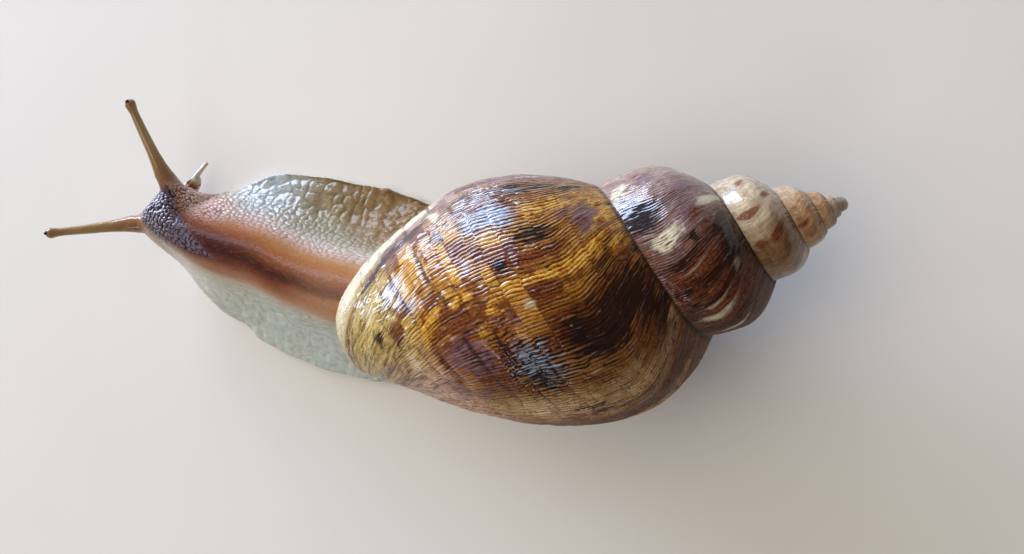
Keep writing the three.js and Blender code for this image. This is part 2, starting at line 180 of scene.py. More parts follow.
def cells(x, y, seed, jitter=0.85):
    """Distances to the nearest and second nearest knots of an irregular pattern of grain 1."""
    i, j = np.floor(x), np.floor(y)
    nearest = np.full(x.shape, 9.0)
    second = np.full(x.shape, 9.0)
    for a in (-1, 0, 1):
        for b in (-1, 0, 1):
            cx = i + a + 0.5 + jitter * (scatter(i + a, j + b, seed) - 0.5)
            cy = j + b + 0.5 + jitter * (scatter(i + a, j + b, seed + 5) - 0.5)
            far = np.hypot(x - cx, y - cy)
            second = np.minimum(second, np.maximum(far, nearest))
            nearest = np.minimum(nearest, far)
    return nearest, second


def pebble(x, y, seed, edge=0.45):
    """Rounded bumps on an irregular pattern of grain 1, from 0 in the grooves to 1 on top."""
    nearest, second = cells(x, y, seed)
    inside = np.clip((second - nearest) / edge, 0.0, 1.0)
    return (1.0 - (1.0 - inside) ** 2) * np.clip(1.15 - 1.1 * nearest**2, 0.0, 1.0)


# ---- Meshes -------------------------------------------------------------------------------------


def piece_from(name, points, loops, sizes):
    """A mesh object from points in millimetres and its faces' corners, one after another."""
    mesh = bpy.data.meshes.new(name)
    mesh.vertices.add(len(points))
    mesh.vertices.foreach_set("co", (np.asarray(points) * MM).astype(np.float32).ravel())
    mesh.loops.add(len(loops))
    mesh.loops.foreach_set("vertex_index", loops.astype(np.int32))
    mesh.polygons.add(len(sizes))
    starts = np.concatenate([[0], np.cumsum(sizes)[:-1]]).astype(np.int32)
    mesh.polygons.foreach_set("loop_start", starts)
    mesh.update(calc_edges=True)
    mesh.polygons.foreach_set("use_smooth", np.ones(len(sizes), dtype=bool))
    obj = bpy.data.objects.new(name, mesh)
    bpy.context.collection.objects.link(obj)
    return obj


def add_layer(obj, name, domain, values):
    layer = obj.data.attributes.new(name, "FLOAT", domain)
    layer.data.foreach_set("value", values.astype(np.float32).ravel())


def add_unwrap(obj, across, up):
    layer = obj.data.uv_layers.new(name="OFBake")
    layer.data.foreach_set("uv", np.stack([across, up], axis=-1).astype(np.float32).ravel())


def sum_at(numbers, vectors, count):
    """The sum of the vectors that fall on each of the numbered points."""
    sums = [np.bincount(numbers, weights=vectors[:, axis], minlength=count) for axis in range(3)]
    return np.stack(sums, axis=-1)


def normals_of(points, corners, sizes):
    """Normals at the points, from the faces' corners."""
    starts = np.concatenate([[0], np.cumsum(sizes)[:-1]])
    face = np.repeat(np.arange(len(sizes)), sizes)
    first, second, third = (points[corners[starts + n]] for n in (0, 1, 2))
    way = np.cross(second - first, third - first)
    return unit(sum_at(corners, way[face], len(points)))


def grid_faces(rows):
    """Corners of the four-sided faces between consecutive equal rows of point numbers."""
    rows = np.asarray(rows)
    first, second = rows[:-1], rows[1:]
    faces = np.stack([first[:, :-1], first[:, 1:], second[:, 1:], second[:, :-1]], axis=-1)
    return faces.reshape(-1, 4)


def ring_faces(rings):
    """The same for closed rings."""
    rings = np.asarray(rings)
    return grid_faces(np.concatenate([rings, rings[:, :1]], axis=1))


def fan(ring, middle):
    """Three-sided faces from a closed ring of point numbers to the point in its middle."""
    return np.stack([ring, np.roll(ring, -1), np.full(len(ring), middle)], axis=-1)


# ---- Shell --------------------------------------------------------------------------------------

TO_TIP = unit(TO_TIP)
TOWARDS_RIGHT = unit(np.array([-TO_TIP[1], TO_TIP[0], 0.0]))
TOWARDS_DOWN = np.cross(TOWARDS_RIGHT, TO_TIP)


def whorl_radius(age):
    return RADIUS * np.exp(LAST_WHORL_EASE * (1 - np.exp(-EASE_RATE * age)) - RADIUS_RATE * age)


def whorl_widest(age):
    return WIDEST_FROM_TIP * np.exp(-HEIGHT_RATE * age)


def whorl_base_height(age, across):
    """Height of a whorl below its widest place, eased where the last whorl begins."""
    last = SHELL_LENGTH - TWIST * np.maximum(0, age) - whorl_widest(age)
    earlier = BASE_DROP * whorl_radius(age)
    return mix(last, earlier, np.where(across <= 1, rise(age, 0.9, 1.1), (age >= 1) * 1.0))


def suture(age):
    radius = whorl_radius(age + 1)
    out = radius * (1 - (SUTURE_DROP / BASE_DROP) ** BASE_FALL)
    return out, whorl_widest(age + 1) + SUTURE_DROP * radius


def whorl_profile(age, across):
    """Distances from the tip and from the axis. across: 0 upper suture, 1 next suture, 2 base."""
    age, across = np.broadcast_arrays(np.asarray(age, float), np.asarray(across, float))
    top_out, top_along = suture(age)
    radius, widest = whorl_radius(age), whorl_widest(age)
    height = whorl_base_height(age, across)
    drop = SUTURE_DROP * radius
    along = mix(top_along, widest + drop, np.minimum(across, 1))
    climb = np.clip((widest - along) / (widest - top_along), 0, 1)
    upper = (across <= 1) & (along <= widest)
    mouthness = smooth(1 - 2 * age)
    end = math.pi / 2 + LIP_FLARE * mouthness
    start = np.arcsin(np.clip(drop / height, 0, 1))
    fallen = np.clip((along - widest) / height, 0, 1)
    angle = np.where(across <= 1, np.arcsin(fallen), mix(start, end, across - 1))
    fall = mix(np.sin(np.minimum(angle, math.pi / 2)) ** BASE_FALL, (angle / end) ** LIP_FALL, mouthness)
    out = np.where(upper, radius - (radius - top_out) * climb**SHOULDER, radius * (1 - fall))
    low_out = radius * (1 - (SUTURE_DROP / BASE_DROP) ** BASE_FALL)
    flush = FLUSH_SPIRE * rise(age, 1.7, 3.4) * (across <= 1)
    out = mix(out, mix(top_out, low_out, np.minimum(across, 1)), flush)
    return np.where(upper, along, widest + height * np.sin(angle)), out


def shell_point(along, out, age):
    angle = LIP_BELOW_LEVEL - TURN * (np.asarray(age) + MOUTH_PAST)
    return (
        SHELL_TIP
        - np.multiply.outer(along, TO_TIP)
        + np.multiply.outer(out * np.cos(angle), TOWARDS_RIGHT)
        + np.multiply.outer(out * np.sin(angle), TOWARDS_DOWN)
    )


def mouth_ring(outline, scale, turned):
    """The mouth's outline drawn in towards its centre and turned back inside."""
    along, out = outline
    age = turned / TURN - MOUTH_PAST
    return shell_point(mix(MOUTH_CENTRE[0], along, scale), mix(MOUTH_CENTRE[1], out, scale), age)


def mouth_outline(wall, base, turn):
    """Down the outer lip, up the axis, and back up the wall of the whorl before."""
    lip_ages = np.full(wall + base + 1, -MOUTH_PAST)
    axis_ages = np.arange(1, turn) / turn - MOUTH_PAST
    ages = np.concatenate([lip_ages, axis_ages, np.full(base, 1 - MOUTH_PAST)])
    lip_shares = [np.arange(wall) / wall, 1 + np.arange(base + 1) / base]
    shares = np.concatenate(lip_shares + [np.full(turn - 1, 2.0), 1 + np.arange(base, 0, -1) / base])
    return whorl_profile(ages, shares), ages, shares


# How far the growth lines lean, in turns, and how far across: on the last whorl and on earlier ones.
LEAN_ABOVE = (0.065, 0.08)
LEAN_REACH = (0.4, 0.75)
LEAN_BELOW = 0.035


def growth_age(age, across):
    """Age along the growth lines, which lean to the mouth at the upper suture and back on the base."""
    earlier = rise(age, 0.5, 0.95)
    above = mix(*LEAN_ABOVE, earlier) * np.maximum(0, 1 - across / mix(*LEAN_REACH, earlier)) ** 1.5
    below = LEAN_BELOW * (np.maximum(0, across - 1.05) / 0.27) ** 1.5
    return age + above - below


def girth_grown(age):
    """Length grown along the widest line since that age."""
    return TURN * RADIUS * (1 + LAST_WHORL_EASE) * (1 - np.exp(-RADIUS_RATE * age)) / RADIUS_RATE


WALL_BULGE = 1.15  # length round a whorl's wall to its height
BASE_BULGE = 1.9  # length round the base to the whorl's radius
WALL_LENGTH = 58.0  # from suture to suture, on the last whorl


def profile_length(age, across):
    """Length down the whorl from its upper suture."""
    _, along = suture(age)
    wall = whorl_widest(age) + SUTURE_DROP * whorl_radius(age) - along
    base = BASE_BULGE * whorl_radius(age)
    return WALL_BULGE * wall * np.minimum(across, 1) + base * np.maximum(0, across - 1)


# Lines pressed in along the last whorl: share of the way across, depth and width in millimetres.
SPIRAL_LINES = (
    (0.25, 0.10, 0.5), (0.44, 0.06, 0.5), (0.62, 0.10, 0.5), (0.735, 0.16, 0.5), (0.80, 0.10, 0.4),
    (0.915, 0.28, 0.6), (0.975, 0.12, 0.5), (1.04, 0.26, 0.5), (1.10, 0.12, 0.4), (1.155, 0.18, 0.5),
    (1.215, 0.14, 0.5), (1.27, 0.14, 0.5),
)


def line_number(age, across, grown):
    """Which two spiral lines of the last whorl a place lies between."""
    places = np.array([place for place, _, _ in SPIRAL_LINES])
    wobble = 0.014 * (noise(grown / 5, across * 9, 311) - 0.5)
    return np.searchsorted(places, across + wobble) * (age < 0.42)


RIDGE_SPACING, BROAD_SPACING = 1.2, 1.9
RIDGE_HEIGHT, SWELL_HEIGHT, BEAD_HEIGHT, CRIMP_HEIGHT = 0.36, 0.6, 0.3, 0.55


def growth_ridges(grown, down, number, size):
    """Crinkled ridges along the growth lines: 1 on their rounded tops, 0 in the narrow furrows."""
    warp = 2.2 * noise(grown / 15, down / 14, 3) + 0.5 * noise(grown / 3.1, down / 3.4, 5)
    warp = warp + 0.2 * noise(grown / 1.4, down / 1.3, 6) + 0.9 * noise(grown / 5, number * 7.7, 7)
    fine = size**0.4
    main = np.abs(np.sin(math.pi * (grown / (RIDGE_SPACING * fine) + warp))) ** 0.7
    minor = np.abs(np.sin(math.pi * (grown / (BROAD_SPACING * fine) + 1.6 * warp))) ** 0.8
    bent = 1.3 * noise(grown / 2.4, down / 2.4, 8)
    crinkle = noise(grown / (0.95 * fine) + 1.7 * warp, down / 4.2 + bent, 12)
    crinkle = 1 - rise(1 - np.abs(2 * crinkle - 1), 0.45, 0.95)
    knots = noise(grown / (0.8 * fine) + warp, down / 1.5, 14)
    patch = rise(layered(grown / 13, down / 9, 10), 0.35, 0.62)
    lined = main * (0.62 + 0.38 * minor)
    knotted = np.minimum(lined * 0.35 + 0.65, crinkle * (0.75 + 0.4 * knots))
    return mix(lined, knotted, 0.08 + 0.38 * patch)


def shell_relief(age, across):
    """Height of the fine relief, the ridges in it from 0 to 1, and the depth of the spiral lines."""
    grown = girth_grown(growth_age(age, across))
    down = profile_length(age, across)
    size = np.clip(whorl_radius(age) / RADIUS, 0.12, 1.0)
    ridges = growth_ridges(grown, down, line_number(age, across, grown), size)
    ridges = mix(0.8, ridges, rise(age, 2.1, 1.6) * 0.75 + 0.25)
    swell = layered(grown / 4.5 + 1.5 * noise(grown / 18, down / 22, 9), down / 12, 23)
    strong = rise(layered(grown / 22, down / 16, 41), 0.3, 0.6)
    later = 1 - 0.45 * rise(growth_age(age, across), 0.29, 0.36)
    height = RIDGE_HEIGHT * (ridges - 0.6) * (0.4 + 0.6 * strong) * later + SWELL_HEIGHT * (swell - 0.5)
    beads = noise(grown / 1.1, down / 0.95, 53)
    beaded = rise(across, 0.0, 0.1) * (0.4 + 0.6 * rise(across, 0.85, 1.05)) * rise(age, 2.2, 1.6)
    height = height + BEAD_HEIGHT * (beads - 0.5) * beaded
    line_depth = np.zeros(age.shape)
    fading = rise(age, 0.42, 0.3)
    for place, depth, width in SPIRAL_LINES:
        off = (across - place) * WALL_LENGTH
        off = off + 1.1 * (noise(grown / 9, np.full(age.shape, place * 40), 61) - 0.5)
        broken = rise(noise(grown / 7, np.full(age.shape, place * 70), 67), 0.25, 0.6)
        line_depth = np.maximum(line_depth, depth * broken * bell(off, 0, width) * fading)
    height = height - line_depth
    near_suture = np.exp(-across * WALL_LENGTH * size / 2.2)
    crimps = noise(grown / (1.9 * np.sqrt(size)), down / 8, 71) - 0.5
    height = height + near_suture * (CRIMP_HEIGHT * crimps - 0.12)
    return height * np.sqrt(size), ridges, line_depth


def shell_columns(step):
    turn = step / STEPS_PER_TURN
    return WALL_COLUMNS[0 if turn <= 1 else 1 if turn <= 2 else 2]


def shell_rows():
    """Point numbers of the rows down the walls and down the base, and each point's age and place."""
    rows, base_rows, ages, shares = [], [], [], []
    count = 0
    for step in range(SHELL_STEPS + 1):
        columns = shell_columns(step)
        rows.append(np.arange(count, count + columns + 1))
        ages.append(np.full(columns + 1, step / STEPS_PER_TURN - MOUTH_PAST))
        shares.append(np.arange(columns + 1) / columns)
        count += columns + 1
    for step in range(STEPS_PER_TURN + 1):
        base_rows.append(np.concatenate([rows[step][-1:], np.arange(count, count + BASE_COLUMNS)]))
        ages.append(np.full(BASE_COLUMNS, step / STEPS_PER_TURN - MOUTH_PAST))
        shares.append(1 + np.arange(1, BASE_COLUMNS + 1) / BASE_COLUMNS)
        count += BASE_COLUMNS
    return rows, base_rows, np.concatenate(ages), np.concatenate(shares)


def wall_faces(rows):
    """Four-sided faces between the rows, and five-sided ones where the columns halve."""
    quads, halving = [], []
    step = 0
    for number, columns in enumerate(WALL_COLUMNS):
        last = SHELL_STEPS if number == len(WALL_COLUMNS) - 1 else (number + 1) * STEPS_PER_TURN
        block = [rows[step][:: len(rows[step]) // columns]] + rows[step + 1 : last + 1]
        if step:
            coarse, fine, after = block[0], rows[step], block[1]
            halving.append(np.stack([coarse[:-1], fine[1::2], coarse[1:], after[1:], after[:-1]], axis=-1))
            block = block[1:]
        quads.append(grid_faces(block))
        step = last
    return quads, halving


def tip_dome(rows, ages, shares):
    """A low dome over the first whorl: its points and its faces, in rings and round the top."""
    rim = [row[0] for row in rows[SHELL_STEPS - STEPS_PER_TURN :]] + list(rows[-1][1:-1])
    along, out = whorl_profile(ages[rim], shares[rim])
    points = [shell_point(np.minimum(along, top), share * out, ages[rim]) for share, top in DOME_RINGS]
    points.append(shell_point(DOME_TOP, 0.0, 0.0)[None])
    new = len(ages) + np.arange(len(DOME_RINGS) * len(rim)).reshape(len(DOME_RINGS), -1)
    return points, ring_faces([rim, *new]), fan(new[-1], new[-1][-1] + 1)


def mouth_lining(ring, outline, start):
    """The lip's edge, the inside of the mouth and its floor, where the shell turns in."""
    points = [mouth_ring(outline, scale, turned) for scale, turned in MOUTH_RINGS]
    points.append(shell_point(*MOUTH_CENTRE, MOUTH_DEPTH / TURN - MOUTH_PAST)[None])
    new = start + np.arange(len(MOUTH_RINGS) * len(ring)).reshape(len(MOUTH_RINGS), -1)
    return points, ring_faces([ring, *new])[:, ::-1], fan(new[-1], new[-1][-1] + 1)[:, [1, 0, 2]]


def seams(rows, count):
    """The point that stands for each one where two whorls meet, and whether each is on such a seam."""
    shared = np.arange(count)
    for upper, lower in zip(rows, rows[STEPS_PER_TURN:]):
        # A whorl's upper edge is the lower edge of the whorl before it.
        shared[upper[0]] = lower[-1]
    on_seam = np.zeros(count, dtype=bool)
    on_seam[shared[shared != np.arange(count)]] = True
    return shared, on_seam


def faded(relief, ages, shares, on_seam, smooth_places):
    """The relief eased off at the sutures, the lip and the axis, and none where the shell is smooth."""
    past_base = ages > 1 - MOUTH_PAST - 1e-6
    lower_end = np.where(past_base, smooth((1 - shares) * SUTURE_EASE), rise(shares, 2, 1.85))
    at_lip = rise(ages, -MOUTH_PAST, 0.006 - MOUTH_PAST)
    height = relief * (smooth(shares * SUTURE_EASE) * lower_end * at_lip)
    height[on_seam] = -SUTURE_PRESSED_IN * np.clip(whorl_radius(ages[on_seam]) / RADIUS, 0.25, 1)
    height[smooth_places] = 0
    return height


def build_shell():
    rows, base_rows, ages, shares = shell_rows()
    points = shell_point(*whorl_profile(ages, shares), ages)
    quads, halving = wall_faces(rows)
    dome_points, dome_faces, top_faces = tip_dome(rows, ages, shares)
    domed = sum(len(some) for some in dome_points)

    axis = np.array([row[-1] for row in base_rows[1:-1]])
    ring = np.concatenate([rows[0][:-1], base_rows[0], axis, base_rows[-1][:0:-1]])
    outline, ring_ages, ring_shares = mouth_outline(WALL_COLUMNS[0], BASE_COLUMNS, STEPS_PER_TURN)
    mouth_points, lining_faces, floor_faces = mouth_lining(ring, outline, len(ages) + domed)

    depths = (1 + np.arange(len(MOUTH_RINGS))) / (1 + len(MOUTH_RINGS))
    depth = np.concatenate([np.zeros(len(ages) + domed), np.repeat(depths, len(ring)), [1]])
    points = np.concatenate([points] + dome_points + mouth_points)
    rings = len(MOUTH_RINGS)
    ages = np.concatenate([ages, np.full(domed, WHORLS), np.tile(ring_ages, rings), [0]])
    shares = np.concatenate([shares, np.full(domed, 0.5), np.tile(ring_shares, rings), [1]])

    quads = np.concatenate(quads + [grid_faces(base_rows), dome_faces, lining_faces])
    faces = [quads] + halving + [top_faces, floor_faces]
    corners = np.concatenate([some.ravel() for some in faces])
    sizes = np.concatenate([np.full(len(some), some.shape[1]) for some in faces])

    shared, on_seam = seams(rows, len(points))
    merged = shared[corners]
    relief, ridges, line_depth = shell_relief(ages, shares)
    smooth_places = (depth > 0) | ((ages == WHORLS) & ~on_seam)
    smooth_places[ring] = True
    height = faded(relief, ages, shares, on_seam, smooth_places)
    points = points + normals_of(points, merged, sizes) * height[:, None]
    used, loops = np.unique(merged, return_inverse=True)
    obj = piece_from("shell_whorls", points[used], loops, sizes)

    lag = growth_age(ages, shares)
    grown, fallen = girth_grown(lag), profile_length(ages, shares)
    layers = {
        "age": ages, "across": shares, "lag": lag, "grown": grown, "fallen": fallen, "depth": depth,
        "ridge": ridges, "line": line_depth, "band": band_tint(ages, shares, grown),
    }
    for name, patches in SHELL_PATCHES.items():
        layers[name] = patch_strength(patches, lag, shares, grown, fallen)
    for name, values in layers.items():
        add_layer(obj, name, "CORNER", values[corners])
    add_unwrap(obj, *shell_unwrap(ages, shares, depth, corners, sizes))
    return obj


# Places on the shell where a tint gathers: growth age and across, half sizes of both, strength.
SHELL_PATCHES = {
    "ink": (
        (0.115, 0.15, 0.011, 0.13, 0.6), (0.08, 0.6, 0.01, 0.28, 0.45), (0.16, 0.45, 0.016, 0.12, 1.0),
        (0.1, 0.5, 0.03, 0.3, 0.3), (0.105, 0.2, 0.006, 0.1, 0.7), (0.188, 0.695, 0.008, 0.035, 1.2),
        (0.12, 0.95, 0.01, 0.045, 0.8), (0.128, 0.78, 0.018, 0.05, 0.5), (0.168, 0.785, 0.016, 0.025, 0.4),
        (0.298, 0.79, 0.034, 0.15, 1.2), (0.29, 0.45, 0.02, 0.15, 0.5), (0.13, 0.62, 0.022, 0.1, 0.75),
        (0.09, 0.35, 0.006, 0.16, 0.8), (1.148, 0.82, 0.025, 0.24, 1.4), (1.157, 0.36, 0.012, 0.18, 0.4),
    ),
    "dark": (
        (0.077, 1.12, 0.01, 0.17, 0.85), (0.287, 0.36, 0.033, 0.27, 1.1), (0.335, 0.08, 0.045, 0.1, 0.9),
        (0.28, 0.93, 0.035, 0.04, 0.6), (0.327, 0.8, 0.009, 0.16, 0.6), (0.272, 1.06, 0.03, 0.04, 0.45),
        (0.395, 0.4, 0.01, 0.5, 0.5), (0.377, 0.75, 0.012, 0.14, 0.45), (0.158, 1.34, 0.02, 0.03, 0.9),
        (0.2, 1.27, 0.016, 0.03, 0.5), (0.26, 1.16, 0.016, 0.02, 0.6), (0.165, 1.04, 0.02, 0.008, 0.4),
        (0.24, 0.2, 0.018, 0.12, 0.4), (0.56, 0.4, 0.016, 0.4, 0.8), (0.63, 0.8, 0.03, 0.3, 0.8),
        (0.72, 0.4, 0.016, 0.35, 0.7), (0.78, 0.9, 0.03, 0.25, 0.7), (0.88, 0.45, 0.02, 0.4, 0.8),
        (1.23, 0.45, 0.009, 0.04, 0.9), (1.25, 0.6, 0.014, 0.5, 0.7), (1.3, 0.5, 0.02, 0.6, 0.6),
        (1.3, 0.12, 0.05, 0.14, 0.9), (1.335, 0.6, 0.012, 0.4, 0.6), (1.405, 0.6, 0.02, 0.5, 0.6),
        (1.235, 0.08, 0.016, 0.08, 0.6), (1.5, 0.6, 0.02, 0.4, 0.8), (1.62, 0.5, 0.03, 0.4, 0.8),
        (1.78, 0.5, 0.02, 0.4, 0.6), (1.9, 0.6, 0.03, 0.3, 0.6), (2.36, 0.6, 0.03, 0.4, 0.45),
        (2.33, 0.35, 0.02, 0.12, 0.5),
    ),
    "brown": (
        (0.187, 0.5, 0.008, 0.25, 1.0), (0.165, 0.7, 0.006, 0.2, 0.7), (0.255, 0.5, 0.01, 0.2, 0.7),
        (0.235, 0.3, 0.018, 0.25, 0.3), (0.265, 0.15, 0.02, 0.2, 0.6), (0.35, 0.15, 0.04, 0.2, 1.0),
        (0.24, 0.85, 0.009, 0.04, 0.7), (0.225, 0.75, 0.02, 0.012, 0.7), (0.19, 0.95, 0.007, 0.05, 0.7),
        (0.165, 0.97, 0.022, 0.015, 0.6), (0.335, 0.55, 0.01, 0.2, 0.6), (0.14, 1.05, 0.006, 0.09, 0.7),
        (0.18, 1.25, 0.024, 0.045, 0.7), (0.115, 0.85, 0.03, 0.03, 0.5), (0.3, 1.02, 0.03, 0.06, 0.6),
        (0.17, 0.74, 0.014, 0.02, 0.7), (0.5, 0.6, 0.03, 0.5, 0.7), (0.6, 0.3, 0.03, 0.4, 0.8),
        (0.7, 0.8, 0.03, 0.4, 0.8), (0.82, 0.5, 0.04, 0.5, 0.8), (0.93, 0.6, 0.02, 0.5, 0.7),
        (1.2, 0.3, 0.016, 0.14, 0.7), (1.28, 0.6, 0.05, 0.6, 0.9), (1.38, 0.5, 0.06, 0.6, 0.8),
        (1.7, 0.6, 0.03, 0.4, 0.8), (1.56, 0.4, 0.03, 0.4, 0.7), (2.082, 0.58, 0.018, 0.14, 0.8),
        (2.172, 0.27, 0.011, 0.13, 1.0), (2.187, 0.72, 0.013, 0.28, 1.2), (2.285, 0.38, 0.02, 0.2, 1.1),
        (2.277, 0.8, 0.014, 0.18, 1.0), (2.236, 0.35, 0.006, 0.04, 0.7), (2.55, 0.6, 0.02, 0.3, 1.0),
        (2.68, 0.4, 0.02, 0.3, 1.0), (2.83, 0.6, 0.02, 0.3, 1.0), (2.95, 0.5, 0.015, 0.4, 0.6),
        (3.19, 0.75, 0.02, 0.2, 0.5), (3.27, 0.75, 0.016, 0.3, 0.9), (3.37, 0.12, 0.016, 0.07, 0.9),
        (3.5, 0.5, 0.02, 0.4, 0.8), (3.72, 0.5, 0.02, 0.4, 0.8),
    ),
    "gold": (
        (0.21, 0.25, 0.01, 0.3, 1.1), (0.212, 0.65, 0.01, 0.12, 0.9), (0.126, 0.38, 0.013, 0.08, 0.9),
        (0.222, 0.82, 0.018, 0.05, 0.9), (0.202, 0.98, 0.01, 0.07, 1.0), (0.245, 0.99, 0.006, 0.05, 0.6),
        (0.13, 0.27, 0.02, 0.05, 0.6), (0.11, 1.03, 0.009, 0.07, 0.8), (0.213, 1.12, 0.03, 0.06, 0.8),
        (0.17, 0.94, 0.02, 0.02, 0.7), (0.16, 0.05, 0.02, 0.07, 0.6), (0.19, 0.08, 0.008, 0.1, 0.8),
        (0.235, 0.08, 0.014, 0.1, 0.9), (0.175, 0.07, 0.012, 0.08, 0.9), (0.125, 0.12, 0.03, 0.1, 0.55),
        (0.46, 0.5, 0.02, 0.5, 0.7), (0.66, 0.5, 0.02, 0.5, 0.7), (0.76, 0.3, 0.02, 0.3, 0.6),
    ),
    "pale": (
        (0.078, 0.9, 0.018, 0.035, 1.2), (0.235, 0.67, 0.009, 0.045, 0.75), (0.045, 1.12, 0.012, 0.22, 0.9),
        (0.015, 1.2, 0.035, 0.4, 1.1), (0.05, 0.3, 0.012, 0.25, 0.5), (0.235, 1.27, 0.04, 0.05, 0.6),
        (0.115, 1.3, 0.012, 0.05, 0.8), (0.093, 0.3, 0.003, 0.2, 0.5), (0.2, 0.83, 0.006, 0.03, 0.6),
        (0.19, 1.15, 0.006, 0.06, 0.5), (1.205, 0.74, 0.018, 0.18, 1.3), (1.268, 0.6, 0.004, 0.3, 0.8),
        (1.342, 0.6, 0.005, 0.3, 0.8), (1.365, 0.65, 0.007, 0.3, 1.0), (1.33, 0.2, 0.014, 0.08, 0.7),
        (1.43, 0.6, 0.006, 0.3, 0.9), (1.085, 0.9, 0.03, 0.11, 1.0), (1.19, 0.12, 0.013, 0.17, 1.2),
        (1.08, 0.2, 0.025, 0.15, 0.6), (1.375, 0.6, 0.007, 0.33, 0.7), (1.21, 0.5, 0.01, 0.05, 0.5),
    ),
    "plum": (
        (0.045, 0.55, 0.009, 0.14, 0.9), (0.175, 0.17, 0.026, 0.08, 1.1), (0.15, 0.28, 0.012, 0.05, 0.8),
        (0.172, 0.61, 0.012, 0.05, 1.1), (0.272, 1.07, 0.034, 0.07, 1.25), (0.12, 0.95, 0.013, 0.05, 0.8),
        (0.077, 1.12, 0.012, 0.17, 1.0), (0.3, 1.22, 0.04, 0.06, 0.6), (0.3, 0.65, 0.007, 0.03, 0.8),
        (0.395, 0.5, 0.01, 0.5, 0.4), (1.08, 0.6, 0.02, 0.14, 1.1), (1.145, 0.3, 0.02, 0.2, 0.9),
        (1.19, 0.4, 0.02, 0.12, 0.8), (1.275, 0.55, 0.005, 0.25, 0.8), (1.32, 0.5, 0.008, 0.3, 0.5),
    ),
    # Painted reflection: bluish-white patches where the window is mirrored on the wet shell.
    "bloom": (
        (0.125, 0.6, 0.02, 0.12, 1.25), (0.125, 0.75, 0.018, 0.04, 0.7), (0.292, 0.77, 0.024, 0.11, 0.5),
        (0.17, 0.86, 0.017, 0.03, 1.0), (0.13, 1.19, 0.014, 0.065, 0.95), (0.172, 1.14, 0.017, 0.05, 0.9),
        (0.165, 1.055, 0.018, 0.012, 0.6), (0.085, 0.62, 0.007, 0.22, 0.55),
        (1.115, 0.88, 0.011, 0.11, 0.9), (2.1, 0.8, 0.02, 0.1, 0.6),
    ),
}


def band_tint(age, across, grown):
    """A value from 0 to 1 that changes at every spiral line and now and then along it."""
    number = line_number(age, across, grown)
    tint = noise(grown / 6.5 + number * 13.7, number * 5.31, 313)
    return mix(0.5, tint, rise(age, 0.45, 0.3) * rise(across, 0.35, 0.65))


# How ragged a patch's edges are: in turns along the shell, and in shares across it.
RAGGED_ALONG, RAGGED_ACROSS, COMBED_ACROSS = 0.013, 0.11, 0.16


def patch_strength(patches, lag, across, grown, down):
    """Tint from 0 up at each place, with ragged edges drawn out along the growth lines."""
    combed = layered(grown / 1.3, down / 12, 303) - 0.5
    later = RAGGED_ALONG * (layered(grown / 5, down / 6, 301, 4) - 0.5)
    lower = RAGGED_ACROSS * (layered(grown / 4, down / 7, 307) - 0.5) + COMBED_ACROSS * combed
    total = np.zeros(lag.shape)
    for age, place, half_age, half_place, strength in patches:
        off_age = lag + later * min(1.0, half_age / 0.014) - age
        off_place = across + lower * min(1.0, half_place / 0.1) - place
        far = (off_age / half_age) ** 2 + (off_place / half_place) ** 2
        total = total + strength * np.exp(-(far**1.2))
    return total + 0.3 * combed * (total > 0.01)


# Where each turn of the shell lies in the unwrap: left, low, width, height.
TURN_STRIPS = (
    (0.01, 0.01, 0.88, 0.57), (0.01, 0.6, 0.57, 0.15), (0.6, 0.6, 0.36, 0.09), (0.6, 0.71, 0.24, 0.05),
    (0.86, 0.71, 0.13, 0.03), (0.86, 0.76, 0.08, 0.02),
)
MOUTH_PATCH = (0.03, 0.78, 0.2)  # left, low, size


def shell_unwrap(ages, shares, depth, corners, sizes):
    """The unwrap's two coordinates at each corner: a strip for each turn, and a patch for the mouth."""
    starts = np.cumsum(sizes) - sizes
    age, across, deep = ages[corners], shares[corners], depth[corners]
    turn = np.floor(np.minimum.reduceat(age, starts) + MOUTH_PAST + 1e-6)
    turn = np.repeat(np.clip(turn, 0, len(TURN_STRIPS) - 1).astype(int), sizes)
    strip = np.array(TURN_STRIPS)[turn]
    u = strip[:, 0] + strip[:, 2] * (age + MOUTH_PAST - turn)
    v = strip[:, 1] + strip[:, 3] * across / np.where(turn == 0, 2.0, 1.0)
    in_mouth = np.repeat(np.maximum.reduceat(deep, starts) > 0, sizes)
    along, out = whorl_profile(age, across)
    along, out = (mix(at, centre, 0.8 * deep) for at, centre in zip((along, out), MOUTH_CENTRE))
    left, low, size = MOUTH_PATCH
    u = np.where(in_mouth, left + size * out / RADIUS, u)
    v = np.where(in_mouth, low + size * along / SHELL_LENGTH, v)
    return u, v


# ---- Body ---------------------------------------------------------------------------------------


def curve_through(points, steps=400):
    """Points along a smooth curve through the given ones, and the share of its length at each."""
    points = np.array(points, float)
    points = np.concatenate([[2 * points[0] - points[1]], points, [2 * points[-1] - points[-2]]])
    t = np.linspace(0, 1, steps, endpoint=False)[:, None]
    path = []
    for p0, p1, p2, p3 in zip(points, points[1:], points[2:], points[3:]):
        d0, d1, d2 = (math.sqrt(np.linalg.norm(b - a)) for a, b in ((p0, p1), (p1, p2), (p2, p3)))
        m1 = ((p1 - p0) / d0 - (p2 - p0) / (d0 + d1) + (p2 - p1) / d1) * d1
        m2 = ((p2 - p1) / d1 - (p3 - p1) / (d1 + d2) + (p3 - p2) / d2) * d1
        bend = p1 + m1 * t + (3 * (p2 - p1) - 2 * m1 - m2) * t**2 + (2 * (p1 - p2) + m1 + m2) * t**3
        path.append(bend)
    path = np.concatenate(path + [points[-2:-1]])
    steps_made = np.linalg.norm(np.diff(path, axis=0), axis=1)
    lengths = np.concatenate([[0], np.cumsum(steps_made)])
    return path, lengths


